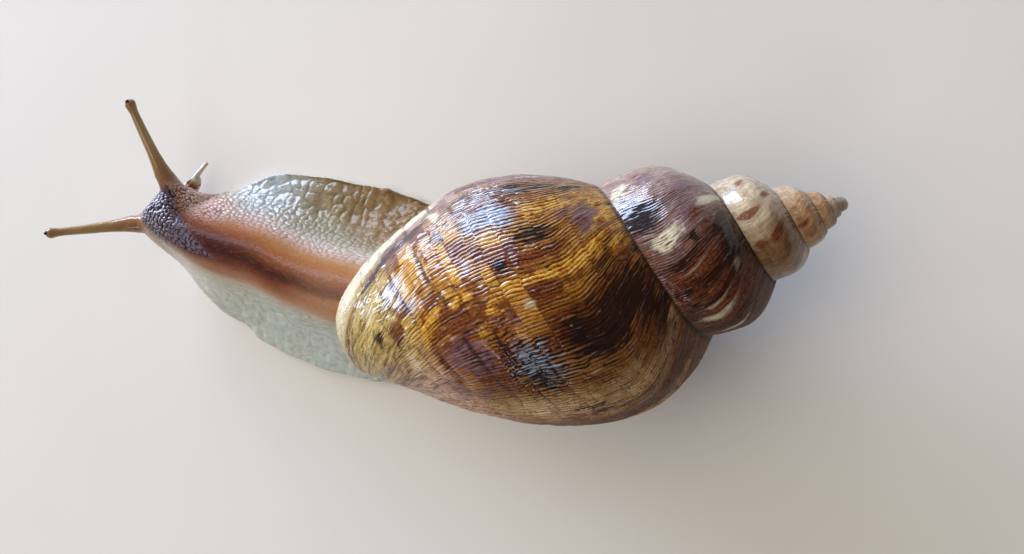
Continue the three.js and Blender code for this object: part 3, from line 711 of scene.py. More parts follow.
LINE, LINE_LENGTHS = curve_through(np.array(BODY_LINE) + CENTRE_SHIFT[:2])
BODY_LENGTH = LINE_LENGTHS[-1]
LINE_SHARES = LINE_LENGTHS / BODY_LENGTH
LINE_WAYS = unit(np.gradient(LINE, LINE_LENGTHS, axis=0))


def along_line(values, share):
    return np.stack([np.interp(share, LINE_SHARES, values[:, axis]) for axis in (0, 1)], axis=-1)


def rightwards(share):
    way = along_line(LINE_WAYS, share)
    return np.stack([-way[..., 1], way[..., 0]], axis=-1)


def section_size(name, share):
    """One size of the cross-section at a share of the body's length, eased between the listed ones."""
    places, values = np.array(SECTION_PLACES, float), np.array(SECTION_SIZES[name], float)
    slopes = np.diff(values) / np.diff(places)
    rising = slopes[:-1] * slopes[1:]
    total = np.where(rising > 0, slopes[:-1] + slopes[1:], 1.0)
    inner = np.where(rising > 0, 2 * rising / total, 0.0)
    slopes = np.concatenate([slopes[:1], inner, slopes[-1:]])
    i = np.clip(np.searchsorted(places, share) - 1, 0, len(places) - 2)
    span = places[i + 1] - places[i]
    t = (share - places[i]) / span
    start = (2 * t**3 - 3 * t**2 + 1) * values[i] + (t**3 - 2 * t**2 + t) * slopes[i] * span
    return start + (3 * t**2 - 2 * t**3) * values[i + 1] + (t**3 - t**2) * slopes[i + 1] * span


def back_and_sole(share, across):
    """Heights of the back and of the underside, across the section from -1 left to 1 right."""
    half, hump, top, lean, lift, round_ = (section_size(name, share) for name in SECTION_SIZES)
    rim = lift + mix(MARGIN, 0.45 * (top - lift), round_)
    foot = np.minimum(*(1 / (1 + np.abs((half + side * lean) / hump) ** 3) for side in (-1, 1)))
    skirt = 1 / (1 + np.abs((across * half - lean) / hump) ** 3)
    skirt = np.maximum(0, (skirt - foot) / (1 - foot))
    oval = np.sqrt(np.maximum(0, 1 - across**2))
    back = rim + (top - rim) * mix(skirt, oval, round_)
    sole = rim - (rim - lift) * (1 - round_ + round_ * oval)
    return back, sole


def body_point(share, across, height):
    flat = along_line(LINE, share) + rightwards(share) * (across * section_size("half", share))[..., None]
    return np.concatenate([flat, height[..., None]], axis=-1)


def body_rings(rows=420, over=121, under=31):
    # Places across the back are closer together at the margins, where it turns down.
    across = np.sin(np.linspace(-1, 1, over) * math.pi / 2) * 0.35 + np.linspace(-1, 1, over) * 0.65
    share, across = np.meshgrid(np.linspace(0, 1, rows), across, indexing="ij")
    back = body_point(share, across, back_and_sole(share, across)[0])
    share, across = np.meshgrid(np.linspace(0, 1, rows), np.linspace(1, -1, under), indexing="ij")
    sole = body_point(share, across, back_and_sole(share, across)[1])
    return np.concatenate([back, sole], axis=1)


def square_to(way):
    """The level direction and the one over it, both square to a way."""
    side = unit(np.cross(way, [0.0, 0.0, 1.0]))
    return side, np.cross(side, way)


def hoop(way, sides, wide=1.0, high=1.0):
    """Points round a way, from the level direction over the top."""
    side, over = square_to(way)
    angle = np.arange(sides) / sides * TURN
    return np.multiply.outer(np.cos(angle), side) * wide + np.multiply.outer(np.sin(angle), over) * high


def tube_rings(start, end, radii, sides=40, sag=0.0, rows=90):
    """Rings of a straight or slightly sagging tube whose radius is given at shares of its length."""
    start, end = np.array(start, float) + CENTRE_SHIFT, np.array(end, float) + CENTRE_SHIFT
    places = np.array([place for place, _ in radii])
    sizes = np.array([size for _, size in radii])
    share = np.unique(np.concatenate([np.linspace(places[0], places[-1], rows), places]))
    radius = np.interp(share, places, sizes)
    rounds = np.convolve(np.pad(radius, 2, mode="edge"), [0.1, 0.2, 0.4, 0.2, 0.1], mode="valid")
    radius = np.where(share < 0.9, rounds, radius)
    way = unit(end - start)
    middle = start + np.multiply.outer(share, end - start)
    inner = np.clip(share, 0, 1)
    middle = middle - np.multiply.outer(sag * 4 * inner * (1 - inner), square_to(way)[1])
    return middle[:, None] + radius[:, None, None] * hoop(way, sides)


def lump_rings(centre, way, size, rows=24, sides=36):
    """Rings of an egg-shaped lump: its centre, the way its length runs, and its half sizes."""
    way = unit(np.array(way, float))
    half_length, half_width, half_height = size
    tip = np.linspace(0.03, math.pi - 0.03, rows)
    ring = hoop(way, sides, half_width, half_height)
    middle = np.array(centre, float) + CENTRE_SHIFT - np.multiply.outer(np.cos(tip) * half_length, way)
    return middle[:, None] + np.sin(tip)[:, None, None] * ring


# Rings round the mantle, from inside the mouth out: scale of the mouth's outline, and angle turned back.
MANTLE_RINGS = (
    (0.5, 0.13), (0.9, 0.12), (0.935, 0.08), (0.94, 0.04), (0.935, 0.015), (0.915, -0.015), (0.88, -0.045),
    (0.83, -0.07), (0.76, -0.09), (0.66, -0.105), (0.5, -0.12), (0.3, -0.13), (0.1, -0.135),
)


def mantle_rings():
    """The mantle's thick edge fills the mouth and bulges a little out of it."""
    outline, _, _ = mouth_outline(60, 60, 160)
    return np.array([mouth_ring(outline, scale, turned) for scale, turned in MANTLE_RINGS])


def closed_tube(rings):
    """Points, corners and sizes of the closed surface round rings of points, facing out."""
    count, sides = rings.shape[:2]
    numbers = np.arange(count * sides).reshape(count, sides)
    points = np.concatenate([rings.reshape(-1, 3), rings[:1].mean(axis=1), rings[-1:].mean(axis=1)])
    quads = ring_faces(numbers)
    after = np.roll(numbers, -1, axis=1)
    start, end = count * sides, count * sides + 1
    first = np.stack([after[0], numbers[0], np.full(sides, start)], axis=-1)
    last = np.stack([numbers[-1], after[-1], np.full(sides, end)], axis=-1)
    triangles = np.concatenate([quads[:, [0, 1, 2]], quads[:, [0, 2, 3]], first, last])
    corners = points[triangles]
    volume = np.sum(corners[:, 0] * np.cross(corners[:, 1], corners[:, 2]))
    return points, triangles if volume > 0 else triangles[:, ::-1]


def temporary(name, points, triangles):
    """A mesh object in millimetres that is used up while the skin is made."""
    return piece_from(name, points / MM, triangles.ravel(), np.full(len(triangles), 3))


def evaluated(obj, kind, **settings):
    """The points and faces of an object after one modifier; the object is then removed."""
    modifier = obj.modifiers.new(kind.lower(), kind)
    for name, value in settings.items():
        setattr(modifier, name, value)
    made = obj.evaluated_get(bpy.context.evaluated_depsgraph_get()).to_mesh()
    made.calc_loop_triangles()
    points = read(made.vertices, "co", 3)
    triangles = read(made.loop_triangles, "vertices", 3, np.int32)
    faces = read(made.loops, "vertex_index", 1, np.int32), read(made.polygons, "loop_total", 1, np.int32)
    edges = read(made.edges, "vertices", 2, np.int32)
    discard(obj)
    return points, triangles, faces, edges


def read(items, name, width, kind=np.float32):
    values = np.empty(len(items) * width, dtype=kind)
    items.foreach_get(name, values)
    values = values.reshape(-1, width) if width > 1 else values
    return values.astype(float) if kind == np.float32 else values


def discard(obj):
    mesh = obj.data
    bpy.data.objects.remove(obj)
    bpy.data.meshes.remove(mesh)


def room_of_shell():
    """The solid shell and its clearance, as points and triangles."""
    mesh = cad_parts["shell"].data
    mesh.calc_loop_triangles()
    points = read(mesh.vertices, "co", 3) / MM
    triangles = read(mesh.loop_triangles, "vertices", 3, np.int32)
    _, first, same = np.unique(points.round(3), axis=0, return_index=True, return_inverse=True)
    points, triangles = points[first], same.ravel()[triangles]
    distinct = (np.diff(np.sort(triangles, axis=1), axis=1) > 0).all(axis=1)
    triangles = triangles[distinct]
    outward = normals_of(points, triangles.ravel(), np.full(len(triangles), 3))
    return points + SHELL_CLEARANCE * outward, triangles


def joined(parts):
    points, triangles, count = [], [], 0
    for part_points, part_triangles in parts:
        points.append(part_points)
        triangles.append(part_triangles + count)
        count += len(part_points)
    return np.concatenate(points), np.concatenate(triangles)


def relax(points, edges, weight, rounds):
    """Moves each point towards the mean of its neighbours."""
    ends = np.concatenate([edges[:, 0], edges[:, 1]])
    others = np.concatenate([edges[:, 1], edges[:, 0]])
    near = np.maximum(np.bincount(ends, minlength=len(points)), 1)
    for _ in range(rounds):
        mean = sum_at(ends, points[others], len(points)) / near[:, None]
        points = points + (mean - points) * weight[:, None]
    return points


def body_places(points):
    """Share of the body's length and distance to the right of its line, at each point."""
    coarse = LINE[::20]
    nearest = np.empty(len(points), dtype=int)
    for start in range(0, len(points), 20000):
        some = points[start : start + 20000, None, :2] - coarse[None]
        nearest[start : start + 20000] = np.argmin((some**2).sum(axis=-1), axis=1)
    at = np.clip(nearest * 20, 1, len(LINE) - 2)
    for _ in range(3):
        away = points[:, :2] - LINE[at]
        step = (away * LINE_WAYS[at]).sum(axis=1)
        share = LINE_SHARES[at] + step / BODY_LENGTH
        at = np.clip(np.searchsorted(LINE_SHARES, share), 0, len(LINE) - 1)
    share = np.clip(share, -0.05, 1.05)
    clipped = np.clip(share, 0, 1)
    offset = ((points[:, :2] - along_line(LINE, clipped)) * rightwards(clipped)).sum(axis=1)
    return share, offset


def girth_of(share, offset):
    """Length round the back from its highest line, growing to the right, in millimetres."""
    rows, columns = 161, 161
    grid_share = np.linspace(0, 1, rows)
    grid_across = np.linspace(-1, 1, columns)
    at_share, at_across = np.meshgrid(grid_share, grid_across, indexing="ij")
    half = section_size("half", at_share)
    wide, high = at_across * half, back_and_sole(at_share, at_across)[0]
    steps = np.hypot(np.diff(wide, axis=1), np.diff(high, axis=1))
    length = np.concatenate([np.zeros((rows, 1)), np.cumsum(steps, axis=1)], axis=1)
    lean = section_size("lean", grid_share) / half[:, 0]
    middle = np.array([np.interp(lean[i], grid_across, length[i]) for i in range(rows)])
    length = length - middle[:, None]
    x = np.clip(share, 0, 1) * (rows - 1)
    y = (np.clip(offset / section_size("half", np.clip(share, 0, 1)), -1, 1) + 1) / 2 * (columns - 1)
    i, j = np.minimum(x.astype(int), rows - 2), np.minimum(y.astype(int), columns - 2)
    u, v = x - i, y - j
    low = mix(length[i, j], length[i, j + 1], v)
    high = mix(length[i + 1, j], length[i + 1, j + 1], v)
    return mix(low, high, u)


FEELER_REACH = 1.6  # how far off its surface a point still belongs to a feeler


def feeler_places(points, feelers, radii):
    """The share along the nearest feeler where a point is on one, and elsewhere -1."""
    share = np.full(len(points), -1.0)
    for start, end in feelers.values():
        start, end = np.array(start, float) + CENTRE_SHIFT, np.array(end, float) + CENTRE_SHIFT
        way = unit(end - start)
        at = (points - start) @ way
        off = np.linalg.norm(points - start - at[:, None] * way, axis=1)
        length = np.linalg.norm(end - start)
        size = np.interp(at / length, [place for place, _ in radii], [size for _, size in radii])
        share = np.where((at > 0) & (off < size + FEELER_REACH), np.maximum(share, at / length), share)
    return share


UPPER_SAG = {"right": -0.4, "left": 0.5}
DRAWN_OUT = {"right": 1.0, "left": 0.6}  # how far each lower feeler is drawn out

# Lumps of flesh round the mouth: place, the way each runs, and half sizes.
LUMPS = (
    ((-117.6, 24.6, 9.6), (-1, 0.6, -0.3), (3.0, 2.4, 2.6)),
    ((-113.9, 27.9, 9.6), (-0.6, 1, -0.3), (3.0, 2.4, 2.6)),
    ((-105.8, 33.0, 8.6), (0.3, 1, -0.1), (3.4, 2.0, 2.2)),
    ((-116.6, 15.2, 8.6), (-0.4, -1, -0.1), (3.2, 2.0, 2.2)),
)


def raw_skin():
    """One closed surface over the body, its feelers and the mantle, clear of the shell."""
    body = temporary("body_form", *closed_tube(body_rings()))
    room = temporary("shell_room", *room_of_shell())
    cut = {"operation": "DIFFERENCE", "solver": "MANIFOLD", "object": room}
    points, triangles, _, _ = evaluated(body, "BOOLEAN", **cut)
    discard(room)
    parts = [(points, triangles), closed_tube(mantle_rings())]
    for side, (start, end) in UPPER_FEELERS.items():
        parts.append(closed_tube(tube_rings(start, end, UPPER_RADII, sag=UPPER_SAG[side])))
    for side, (start, end) in LOWER_FEELERS.items():
        drawn = mix(np.array(start), end, DRAWN_OUT[side])
        parts.append(closed_tube(tube_rings(start, drawn, LOWER_RADII, sides=24)))
    for centre, way, size in LUMPS:
        parts.append(closed_tube(lump_rings(centre, way, size)))
    whole = temporary("skin_form", *joined(parts))
    return evaluated(whole, "REMESH", mode="VOXEL", voxel_size=SKIN_VOXEL)


FACE_HALF_WIDTH = 8.5


def drawn_back(points, roots):
    """Draws the face in between the roots of the two long feelers."""
    middle, along = (roots[0] + roots[1]) / 2, unit(roots[0] - roots[1])
    outward = np.cross(along, [0.0, 0.0, 1.0])
    outward = outward * -np.sign(outward[0])
    off, far = (points - middle) @ along, (points - middle) @ outward
    share = np.maximum(0, 1 - (off / FACE_HALF_WIDTH) ** 2) * rise(far, -1.5, 4.5)
    return points - FACE_DRAWN_BACK * share[:, None] * outward


def skin_zones(share, girth, height, above, normal, upper, lower):
    """How much each point belongs to each zone of the skin, from 0 to 1."""
    z = SimpleNamespace()
    z.feeler = np.maximum(rise(upper, 0.02, 0.2), rise(lower, 0.1, 0.5))
    z.mantle = rise(above, 1.0, 2.5) * (share > 0.3)
    z.head = rise(share, 0.15, 0.08) * (1 - z.feeler)
    z.right = rise(girth, 9, 17) * rise(share, 0.06, 0.16)
    z.left = rise(girth, -9, -17) * rise(share, 0.06, 0.16)
    z.tail = rise(share, 0.62, 0.8)
    z.neck = (1 - z.right) * (1 - z.left) * (1 - z.head) * (1 - z.tail)
    z.rim = rise(height, 3.6, 1.2) * (share > 0.09)
    z.out = rise(girth, 26, 36)
    z.body = (1 - z.feeler) * (1 - z.mantle) * rise(normal[:, 2], -0.5, 0.1)
    return z


# Heights of the skin's relief in millimetres, from the bottom of a groove to the top of a bump.
HEAD_GRANULE, NECK_GRAIN, SMALL_WART, LARGE_WART, WRINKLE, FOLD = 0.42, 0.06, 0.36, 0.34, 1.2, 0.9
LEFT_NET, LEFT_GRAIN, TAIL_SCALE, FEELER_GRAIN, MANTLE_GRAIN = 0.18, 0.06, 0.45, 0.05, 0.25
RIM_FURROW, RIM_GROOVE, RIM_GROOVE_HEIGHT, RIM_LOBE = 0.18, 0.3, 3.9, 1.5


def skin_relief(points, run, girth, height, share, side, z):
    """Height of the skin's relief, and how far each point lies out of its grooves, from 0 to 1."""
    # Irregular places of the bumps, drifting a little so that no rows show.
    s = run + 3.0 * (layered(run / 9, girth / 7, 501) - 0.5)
    s = s + 1.2 * (noise(run / 2.6, girth / 2.2, 503) - 0.5)
    g = girth + 3.0 * (layered(run / 8, girth / 9, 502) - 0.5)
    g = g + 1.2 * (noise(run / 2.4, girth / 2.6, 504) - 0.5)
    granules = pebble(s / 1.5, g / 1.15, 511)
    grains = pebble(s / 2.2, g / 0.95, 512)
    small = pebble(s / 2.5, g / 1.9, 513)
    large = pebble(s / 4.7, g / 3.9, 514, 0.7)
    net = pebble(s / 5.2, g / 4.2, 515, 0.5)
    scales = pebble(s / 4.0, g / 2.5, 516, 0.5)

    # Fine grains on the head and neck, warts and wrinkles on the right, a soft net on the left.
    relief = HEAD_GRANULE * (granules - 0.6) * z.head + NECK_GRAIN * (grains - 0.6) * z.neck
    warty, netted = z.right * (1 - z.tail), z.left * (1 - z.tail)
    warts = LARGE_WART * (large - 0.5) + 0.08 * (small - 0.5)
    relief = relief + warty * mix(SMALL_WART * (small - 0.5), warts, z.out)
    relief = relief + warty * z.out * WRINKLE * (layered(run / 9, girth / 7, 521) - 0.5)
    folds = layered(run / 3.4 + 1.5 * noise(run / 9, girth / 9, 525), girth / 13, 527, 2) - 0.5
    relief = relief + warty * z.out * rise(share, 0.34, 0.42) * FOLD * folds
    soft = 0.6 * layered(run / 8, girth / 6, 523) + 0.55 * layered(s / 3.2 + g / 5, g / 2.4, 529, 2)
    relief = relief + netted * (LEFT_NET * (net - 0.5) + LEFT_GRAIN * (small - 0.5) + soft - 0.57)
    relief = relief + z.tail * TAIL_SCALE * (scales - 0.6)
    relief = relief * z.body * (1 - z.rim)

    # The foot's margin: fine furrows down to the sole, a groove above them, and slack lobes.
    furrows = noise(run / 1.1, girth * 0, 531)
    relief = relief + z.rim * (1 - z.head) * RIM_FURROW * (furrows - 0.5) * rise(height, 0.2, 1.0)
    groove = bell(height, RIM_GROOVE_HEIGHT, 0.45) * (share > 0.1) * (1 - z.mantle)
    relief = relief - RIM_GROOVE * groove
    lobes = rise(np.abs(side), 0.86, 0.97) * rise(height, 9, 6) * (share > 0.12) * (1 - z.mantle)
    relief = relief + lobes * RIM_LOBE * (noise(run / 8.5, np.sign(side) * 5.0, 533) - 0.62)

    relief = relief + z.feeler * FEELER_GRAIN * (pebble(s * 1.1, g * 1.1, 541) - 0.5)
    flesh = pebble(points[:, 0] / 2.6, points[:, 1] / 2.0 + points[:, 2] / 2.4, 551)
    relief = relief + z.mantle * MANTLE_GRAIN * (flesh - 0.6)

    pit = z.head * granules + z.neck * grains + z.tail * scales
    pit = pit + warty * mix(small, large, z.out) + netted * mix(0.55, net, 0.4)
    return relief, np.clip(pit * z.body + (1 - z.body), 0, 1)


SOLE_HEIGHT = 0.35  # what lies lower is drawn down flat onto the floor

# Smoothing of the whole skin, and of the roots of the long feelers: weight and rounds.
ALL_SMOOTHED = (0.5, 5)
ROOTS_SMOOTHED = (0.6, 24)
ROOT_DISTANCE, ROOT_REACH = 4.0, 4.5


def build_skin():
    points, _, (corners, sizes), edges = raw_skin()
    upper = feeler_places(points, UPPER_FEELERS, UPPER_RADII)
    lower = feeler_places(points, LOWER_FEELERS, LOWER_RADII)
    roots = [np.array(start) + CENTRE_SHIFT for start, _ in UPPER_FEELERS.values()]
    distances = (np.linalg.norm(points - root, axis=1) for root in roots)
    near_root = np.clip(sum(bell(far, ROOT_DISTANCE, ROOT_REACH) for far in distances), 0, 1)
    for share, (weight, rounds) in ((np.ones(len(points)), ALL_SMOOTHED), (near_root, ROOTS_SMOOTHED)):
        points = relax(points, edges, weight * share, rounds)
    points = drawn_back(points, roots)

    share, offset = body_places(points)
    inner = np.clip(share, 0, 1)
    girth = girth_of(share, offset)
    height = points[:, 2]
    run = share * BODY_LENGTH - rise(share, 0.07, 0.02) * np.maximum(0, BROW_HEIGHT - height)
    side = offset / section_size("half", inner)
    back, _ = back_and_sole(inner, np.clip(side, -1, 1))
    normal = normals_of(points, corners, sizes)

    zones = skin_zones(share, girth, height, height - back, normal, upper, lower)
    relief, pit = skin_relief(points, run, girth, height, share, side, zones)
    flat = height < SOLE_HEIGHT
    points = points + normal * np.where(flat, 0, relief)[:, None]
    points[:, 2] = np.where(flat & (normal[:, 2] < -0.5), 0.0, np.maximum(points[:, 2], 0.0))

    obj = piece_from("skin", points, corners, sizes)
    layers = {
        "run": run, "girth": girth, "height": height, "pit": pit, "feeler": np.maximum(upper, 0),
        "short_feeler": lower, "mantle": zones.mantle, "head": zones.head, "tail": zones.tail,
    }
    for name, values in layers.items():
        add_layer(obj, name, "POINT", values)
    return obj


# The eye's outline from its front to its back: how far out from its axis, and how far along it.
LENS_OUTLINE = (
    (0.02, 0.98), (0.3, 0.94), (0.55, 0.82), (0.75, 0.62), (0.9, 0.36), (0.97, 0.1), (0.93, -0.2),
    (0.75, -0.55), (0.5, -0.8), (0.2, -0.93), (0.02, -0.96),
)


def build_eye(side):
    """A small dark lens let into the upper front of a feeler's bulb."""
    start, end = (np.array(point, float) + CENTRE_SHIFT for point in UPPER_FEELERS[side])
    way = unit(end - start)
    above = np.array([0, 0, BULB_RADIUS * EYE_UP])
    centre = end - way * EYE_BACK * np.linalg.norm(end - start) + above
    level, up = square_to(way)
    angle = np.arange(32) / 32 * TURN
    ring = np.multiply.outer(np.cos(angle), level) + np.multiply.outer(np.sin(angle), way)
    rings = [centre + EYE_RADIUS * (out * ring + high * up) for out, high in LENS_OUTLINE]
    points, triangles = closed_tube(np.array(rings))
    return piece_from("eye_" + side + "_lens", points, triangles.ravel(), np.full(len(triangles), 3))


# ---- Finishes -----------------------------------------------------------------------------------


class Wire:
    """An output socket that sums can be written on; each adds its Math node."""

    def __init__(self, finish, socket):
        self.finish, self.socket = finish, socket

    def math(self, operation, *others):
        inputs = dict(enumerate((self,) + others))
        return self.finish.node("ShaderNodeMath", {"operation": operation}, inputs)

    def __add__(self, other):
        return self.math("ADD", other)

    def __sub__(self, other):
        return self.math("SUBTRACT", other)

    def __mul__(self, other):
        return self.math("MULTIPLY", other)

    def __truediv__(self, other):
        return self.math("DIVIDE", other)

    def __rsub__(self, other):
        return self.finish.node("ShaderNodeMath", {"operation": "SUBTRACT"}, {0: other, 1: self})

    __radd__ = __add__
    __rmul__ = __mul__


class Finish:
    """A material of nodes, with a short call for each kind that the finishes use."""

    def __init__(self, name):
        self.material = bpy.data.materials.new(name)
        self.material.use_nodes = True
        self.tree = self.material.node_tree
        self.tree.nodes.clear()
        self.surface = self.tree.nodes.new("ShaderNodeBsdfPrincipled")
        output = self.tree.nodes.new("ShaderNodeOutputMaterial")
        self.tree.links.new(self.surface.outputs[0], output.inputs["Surface"])

    def put(self, socket, value):
        if isinstance(value, Wire):
            self.tree.links.new(value.socket, socket)
        else:
            socket.default_value = value

    def node(self, kind, settings=None, inputs=None, output=0):
        made = self.tree.nodes.new(kind)
        for name, value in (settings or {}).items():
            if name == "stops":
                stops = made.color_ramp.elements
                for number, (place, colour) in enumerate(value):
                    stop = stops[number] if number < 2 else stops.new(place)
                    stop.position, stop.color = place, tone(colour)
            else:
                setattr(made, name, value)
        for name, value in (inputs or {}).items():
            self.put(made.inputs[name], value)
        return Wire(self, made.outputs[output])

    def layer(self, name):
        return self.node("ShaderNodeAttribute", {"attribute_name": name}, output="Fac")

    def vector(self, x, y=0.0, z=0.0):
        return self.node("ShaderNodeCombineXYZ", inputs={0: x, 1: y, 2: z})

    def noise(self, vector, scale=1.0, detail=3.0, roughness=0.5):
        inputs = {"Vector": vector, "Scale": scale, "Detail": detail, "Roughness": roughness}
        return self.node("ShaderNodeTexNoise", inputs=inputs)

    def step(self, value, low, high, start=0.0, end=1.0):
        """A smooth rise from start to end as value goes from low to high."""
        inputs = {"Value": value, "From Min": low, "From Max": high, "To Min": start, "To Max": end}
        return self.node("ShaderNodeMapRange", {"interpolation_type": "SMOOTHSTEP"}, inputs)

    def ramp(self, value, stops):
        return self.node("ShaderNodeValToRGB", {"stops": stops}, {0: value})

    def mix(self, share, first, second):
        settings = {"data_type": "RGBA", "clamp_factor": True}
        first, second = (tone(c) if isinstance(c, str) else c for c in (first, second))
        return self.node("ShaderNodeMix", settings, {0: share, 6: first, 7: second}, output=2)

    def lay(self, base, colour, value, low, high, most=1.0):
        """Lays a colour over the base where value goes from low to high."""
        return self.mix(self.step(value, low, high, 0.0, most), base, colour)

    def bump(self, height, distance):
        inputs = {"Height": height, "Distance": distance * MM, "Strength": 1.0}
        return self.node("ShaderNodeBump", inputs=inputs)

    def set(self, **values):
        for name, value in values.items():
            self.put(self.surface.inputs[name.replace("_", " ")], value)
        return self.material


def tone(code):
    """A colour written as rrggbb, as the four linear numbers that nodes take."""
    parts = [int(code[i : i + 2], 16) / 255 for i in (0, 2, 4)]
    return tuple(p / 12.92 if p <= 0.04045 else ((p + 0.055) / 1.055) ** 2.4 for p in parts) + (1.0,)


# Colours of the shell's dark streaks and of the light ones between them, from the mouth back to the
# tip: share of six turns, and colour.
DARK_STREAKS = (
    (0.0, "6f5850"), (0.01, "604038"), (0.02, "6e3a10"), (0.04, "683409"), (0.05, "54260e"),
    (0.056, "6c4018"), (0.061, "aa8450"), (0.066, "8a5c2e"), (0.07, "48240c"), (0.08, "542c12"),
    (0.15, "7a4f24"), (0.172, "866a5c"), (0.19, "6c4e48"), (0.205, "64483e"), (0.225, "40241e"),
    (0.26, "5a3022"), (0.31, "6e4a34"), (0.335, "9a8064"), (0.37, "9c866c"), (0.38, "5c4028"),
    (0.42, "7a5634"), (0.5, "b0947a"), (0.53, "9a6c42"), (0.56, "8c5e38"), (0.7, "9a6e48"), (1.0, "8a7868"),
)
LIGHT_STREAKS = (
    (0.0, "b09c94"), (0.01, "a8887c"), (0.02, "cf9a44"), (0.04, "c48626"), (0.05, "96602a"),
    (0.056, "ac803e"), (0.061, "e6c898"), (0.066, "c89a60"), (0.07, "78461e"), (0.08, "865226"),
    (0.15, "bb8f4c"), (0.172, "ccb6a8"), (0.19, "a68a84"), (0.225, "6a4a3c"), (0.3, "9c7c64"),
    (0.335, "d4c2a6"), (0.367, "d0bc9c"), (0.385, "8e683e"), (0.5, "d2bc9e"), (0.56, "b88c5c"),
    (1.0, "b8aa94"),
)


def shell_texture(f):
    """The shell's layers, and the noises along its growth lines that break up the colours."""
    names = ("age", "across", "lag", "grown", "fallen", "ridge", "line", "band", "depth", *SHELL_PATCHES)
    t = SimpleNamespace(**{name: f.layer(name) for name in names})
    t.broad = f.noise(f.vector(t.grown / 6, t.fallen / 22), detail=4.0, roughness=0.6)
    t.streak = f.noise(f.vector(t.grown / 1.2, t.fallen / 6, 7.0), detail=4.0, roughness=0.65)
    t.blot = f.noise(f.vector(t.grown / 4, t.fallen / 3.5, 3.0), detail=5.0, roughness=0.7)
    t.hair = f.noise(f.vector(t.grown / 0.4, t.fallen / 4, 11.0), roughness=0.6)
    t.speck = f.noise(f.vector(t.grown / 0.9, t.fallen / 0.7, 5.0), roughness=0.7)
    t.dashes = f.noise(f.vector(t.grown / 2.2, t.fallen / 0.8, 17.0), detail=2.0)
    t.uneven = (t.streak - 0.5) * 0.9 + (t.blot - 0.5) * 1.2 + (t.speck - 0.5) * 0.5
    return t


def streaked(f, t):
    """The ground of the shell: streaks down each whorl, the paler base and the fresh growth at the lip."""
    dark, light = (f.ramp(t.lag / 6.0, stops) for stops in (DARK_STREAKS, LIGHT_STREAKS))
    contrast = f.step(t.lag, 1.0, 1.3, 1.0, 1.3)
    # The ridge term also makes the streaks darker in the furrows and lighter on the ridge tops: painted
    # shade.
    streaks = t.uneven * contrast + (t.band - 0.5) * 0.8 + (t.ridge - 0.6) * 0.5
    base = f.lay(dark, light, streaks, -0.3, 0.42)
    back = f.step(t.lag, 0.2, 0.28)
    low_dark, low_light = f.mix(back, "6e5020", "8c5e42"), f.mix(back, "c6ae68", "dcb08e")
    low = f.lay(low_dark, low_light, t.uneven + t.ridge * 0.3, -0.2, 0.35)
    base = f.mix(f.step(t.across, 1.1, 1.24) * 0.85, base, low)
    edge = t.lag - f.step(t.across, 0.6, 1.05, 0.0, 0.04)
    fresh = f.step(edge + t.uneven * 0.006, 0.016, 0.002) * f.step(t.across, 0.5, 0.9)
    return f.mix(fresh * 0.95, base, f.lay("a78c58", "dccfa4", t.uneven, -0.35, 0.2))


def stained(f, t, base):
    """The stains at their places, each ragged with the streaks, from the plum haze to the painted bluish
    reflection.
    """
    split = 0.5 - t.band
    # comb is high in the furrows: it deepens the dark stains there, partly painted shade, and keeps the
    # painted reflection on the ridge tops.
    comb = (0.6 - t.ridge) * 0.7
    base = f.lay(base, "70525e", t.plum + t.uneven * 0.9 + split * 0.3, 0.25, 0.95, 0.8)
    glow = t.blot + (t.ridge - 0.6) * 0.35 + (t.speck - 0.5) * 0.4
    amber = f.lay("8e4406", "e6b03a", glow, 0.3, 0.7)
    base = f.lay(base, amber, t.gold + t.uneven * 0.8, 0.25, 0.9, 0.9)
    base = f.lay(base, "d6caac", t.pale + t.uneven * 0.9, 0.3, 0.95, 0.92)
    rust = f.lay("4c1e0a", "824418", t.speck, 0.4, 0.6)
    wild = (t.broad - 0.5) * 1.2 + split * 0.6 + (t.streak - 0.5) * 1.4 + (t.speck - 0.5) * 0.4
    wild = wild - t.gold * 0.25 - t.pale * 0.3 - f.step(t.lag, 1.95, 2.1, 0.0, 0.22)
    base = f.lay(base, rust, wild, 0.02, 0.3, 0.88)
    brown, dark = t.brown - t.pale * 0.35, t.dark - t.pale * 0.35
    ragged = t.uneven * 1.1
    base = f.lay(base, rust, brown + ragged + split * 0.4, 0.25, 0.85, 0.9)
    base = f.lay(base, "2a0f05", dark + ragged + comb, 0.2, 0.75, 0.93)
    base = f.lay(base, "0e0a0e", t.ink + ragged + comb * 1.8, 0.25, 0.8, 0.94)
    # Painted reflection of the window: bluish white laid on the ridge tops at the last patches of
    # SHELL_PATCHES.
    return f.lay(base, "bccbe4", t.bloom - comb * 2.2 + t.uneven * 1.2, 0.35, 1.2, 0.66)


def shaded_furrows(f, t, base):
    """Painted shade in the furrows between the ridges, partly the dark brown of the growth lines, and the
    spiral lines pressed in.
    """
    # Painted shade: darker in the narrow furrows between the ridges, partly their own dark brown.
    furrow_shade = f.step(t.ridge, 0.55, 0.15) * f.step(t.blot, 0.3, 0.55, 0.3, 1.0)
    furrow_shade = furrow_shade * f.step(t.lag, 0.36, 0.29, 0.4, 1.0)
    base = f.mix(furrow_shade * 0.85, base, f.mix(0.78, base, "220a03"))
    dash = f.step(t.dashes, 0.59, 0.66) * f.step(t.lag, 0.3, 0.335) * f.step(t.lag, 1.0, 0.9)
    base = f.mix(dash * 0.75, base, "3a1c0c")
    base = f.lay(base, f.mix(0.5, base, "2a1008"), t.hair, 0.52, 0.72, 0.4)
    return f.lay(base, "34140a", t.line, 0.03, 0.2, 0.75)


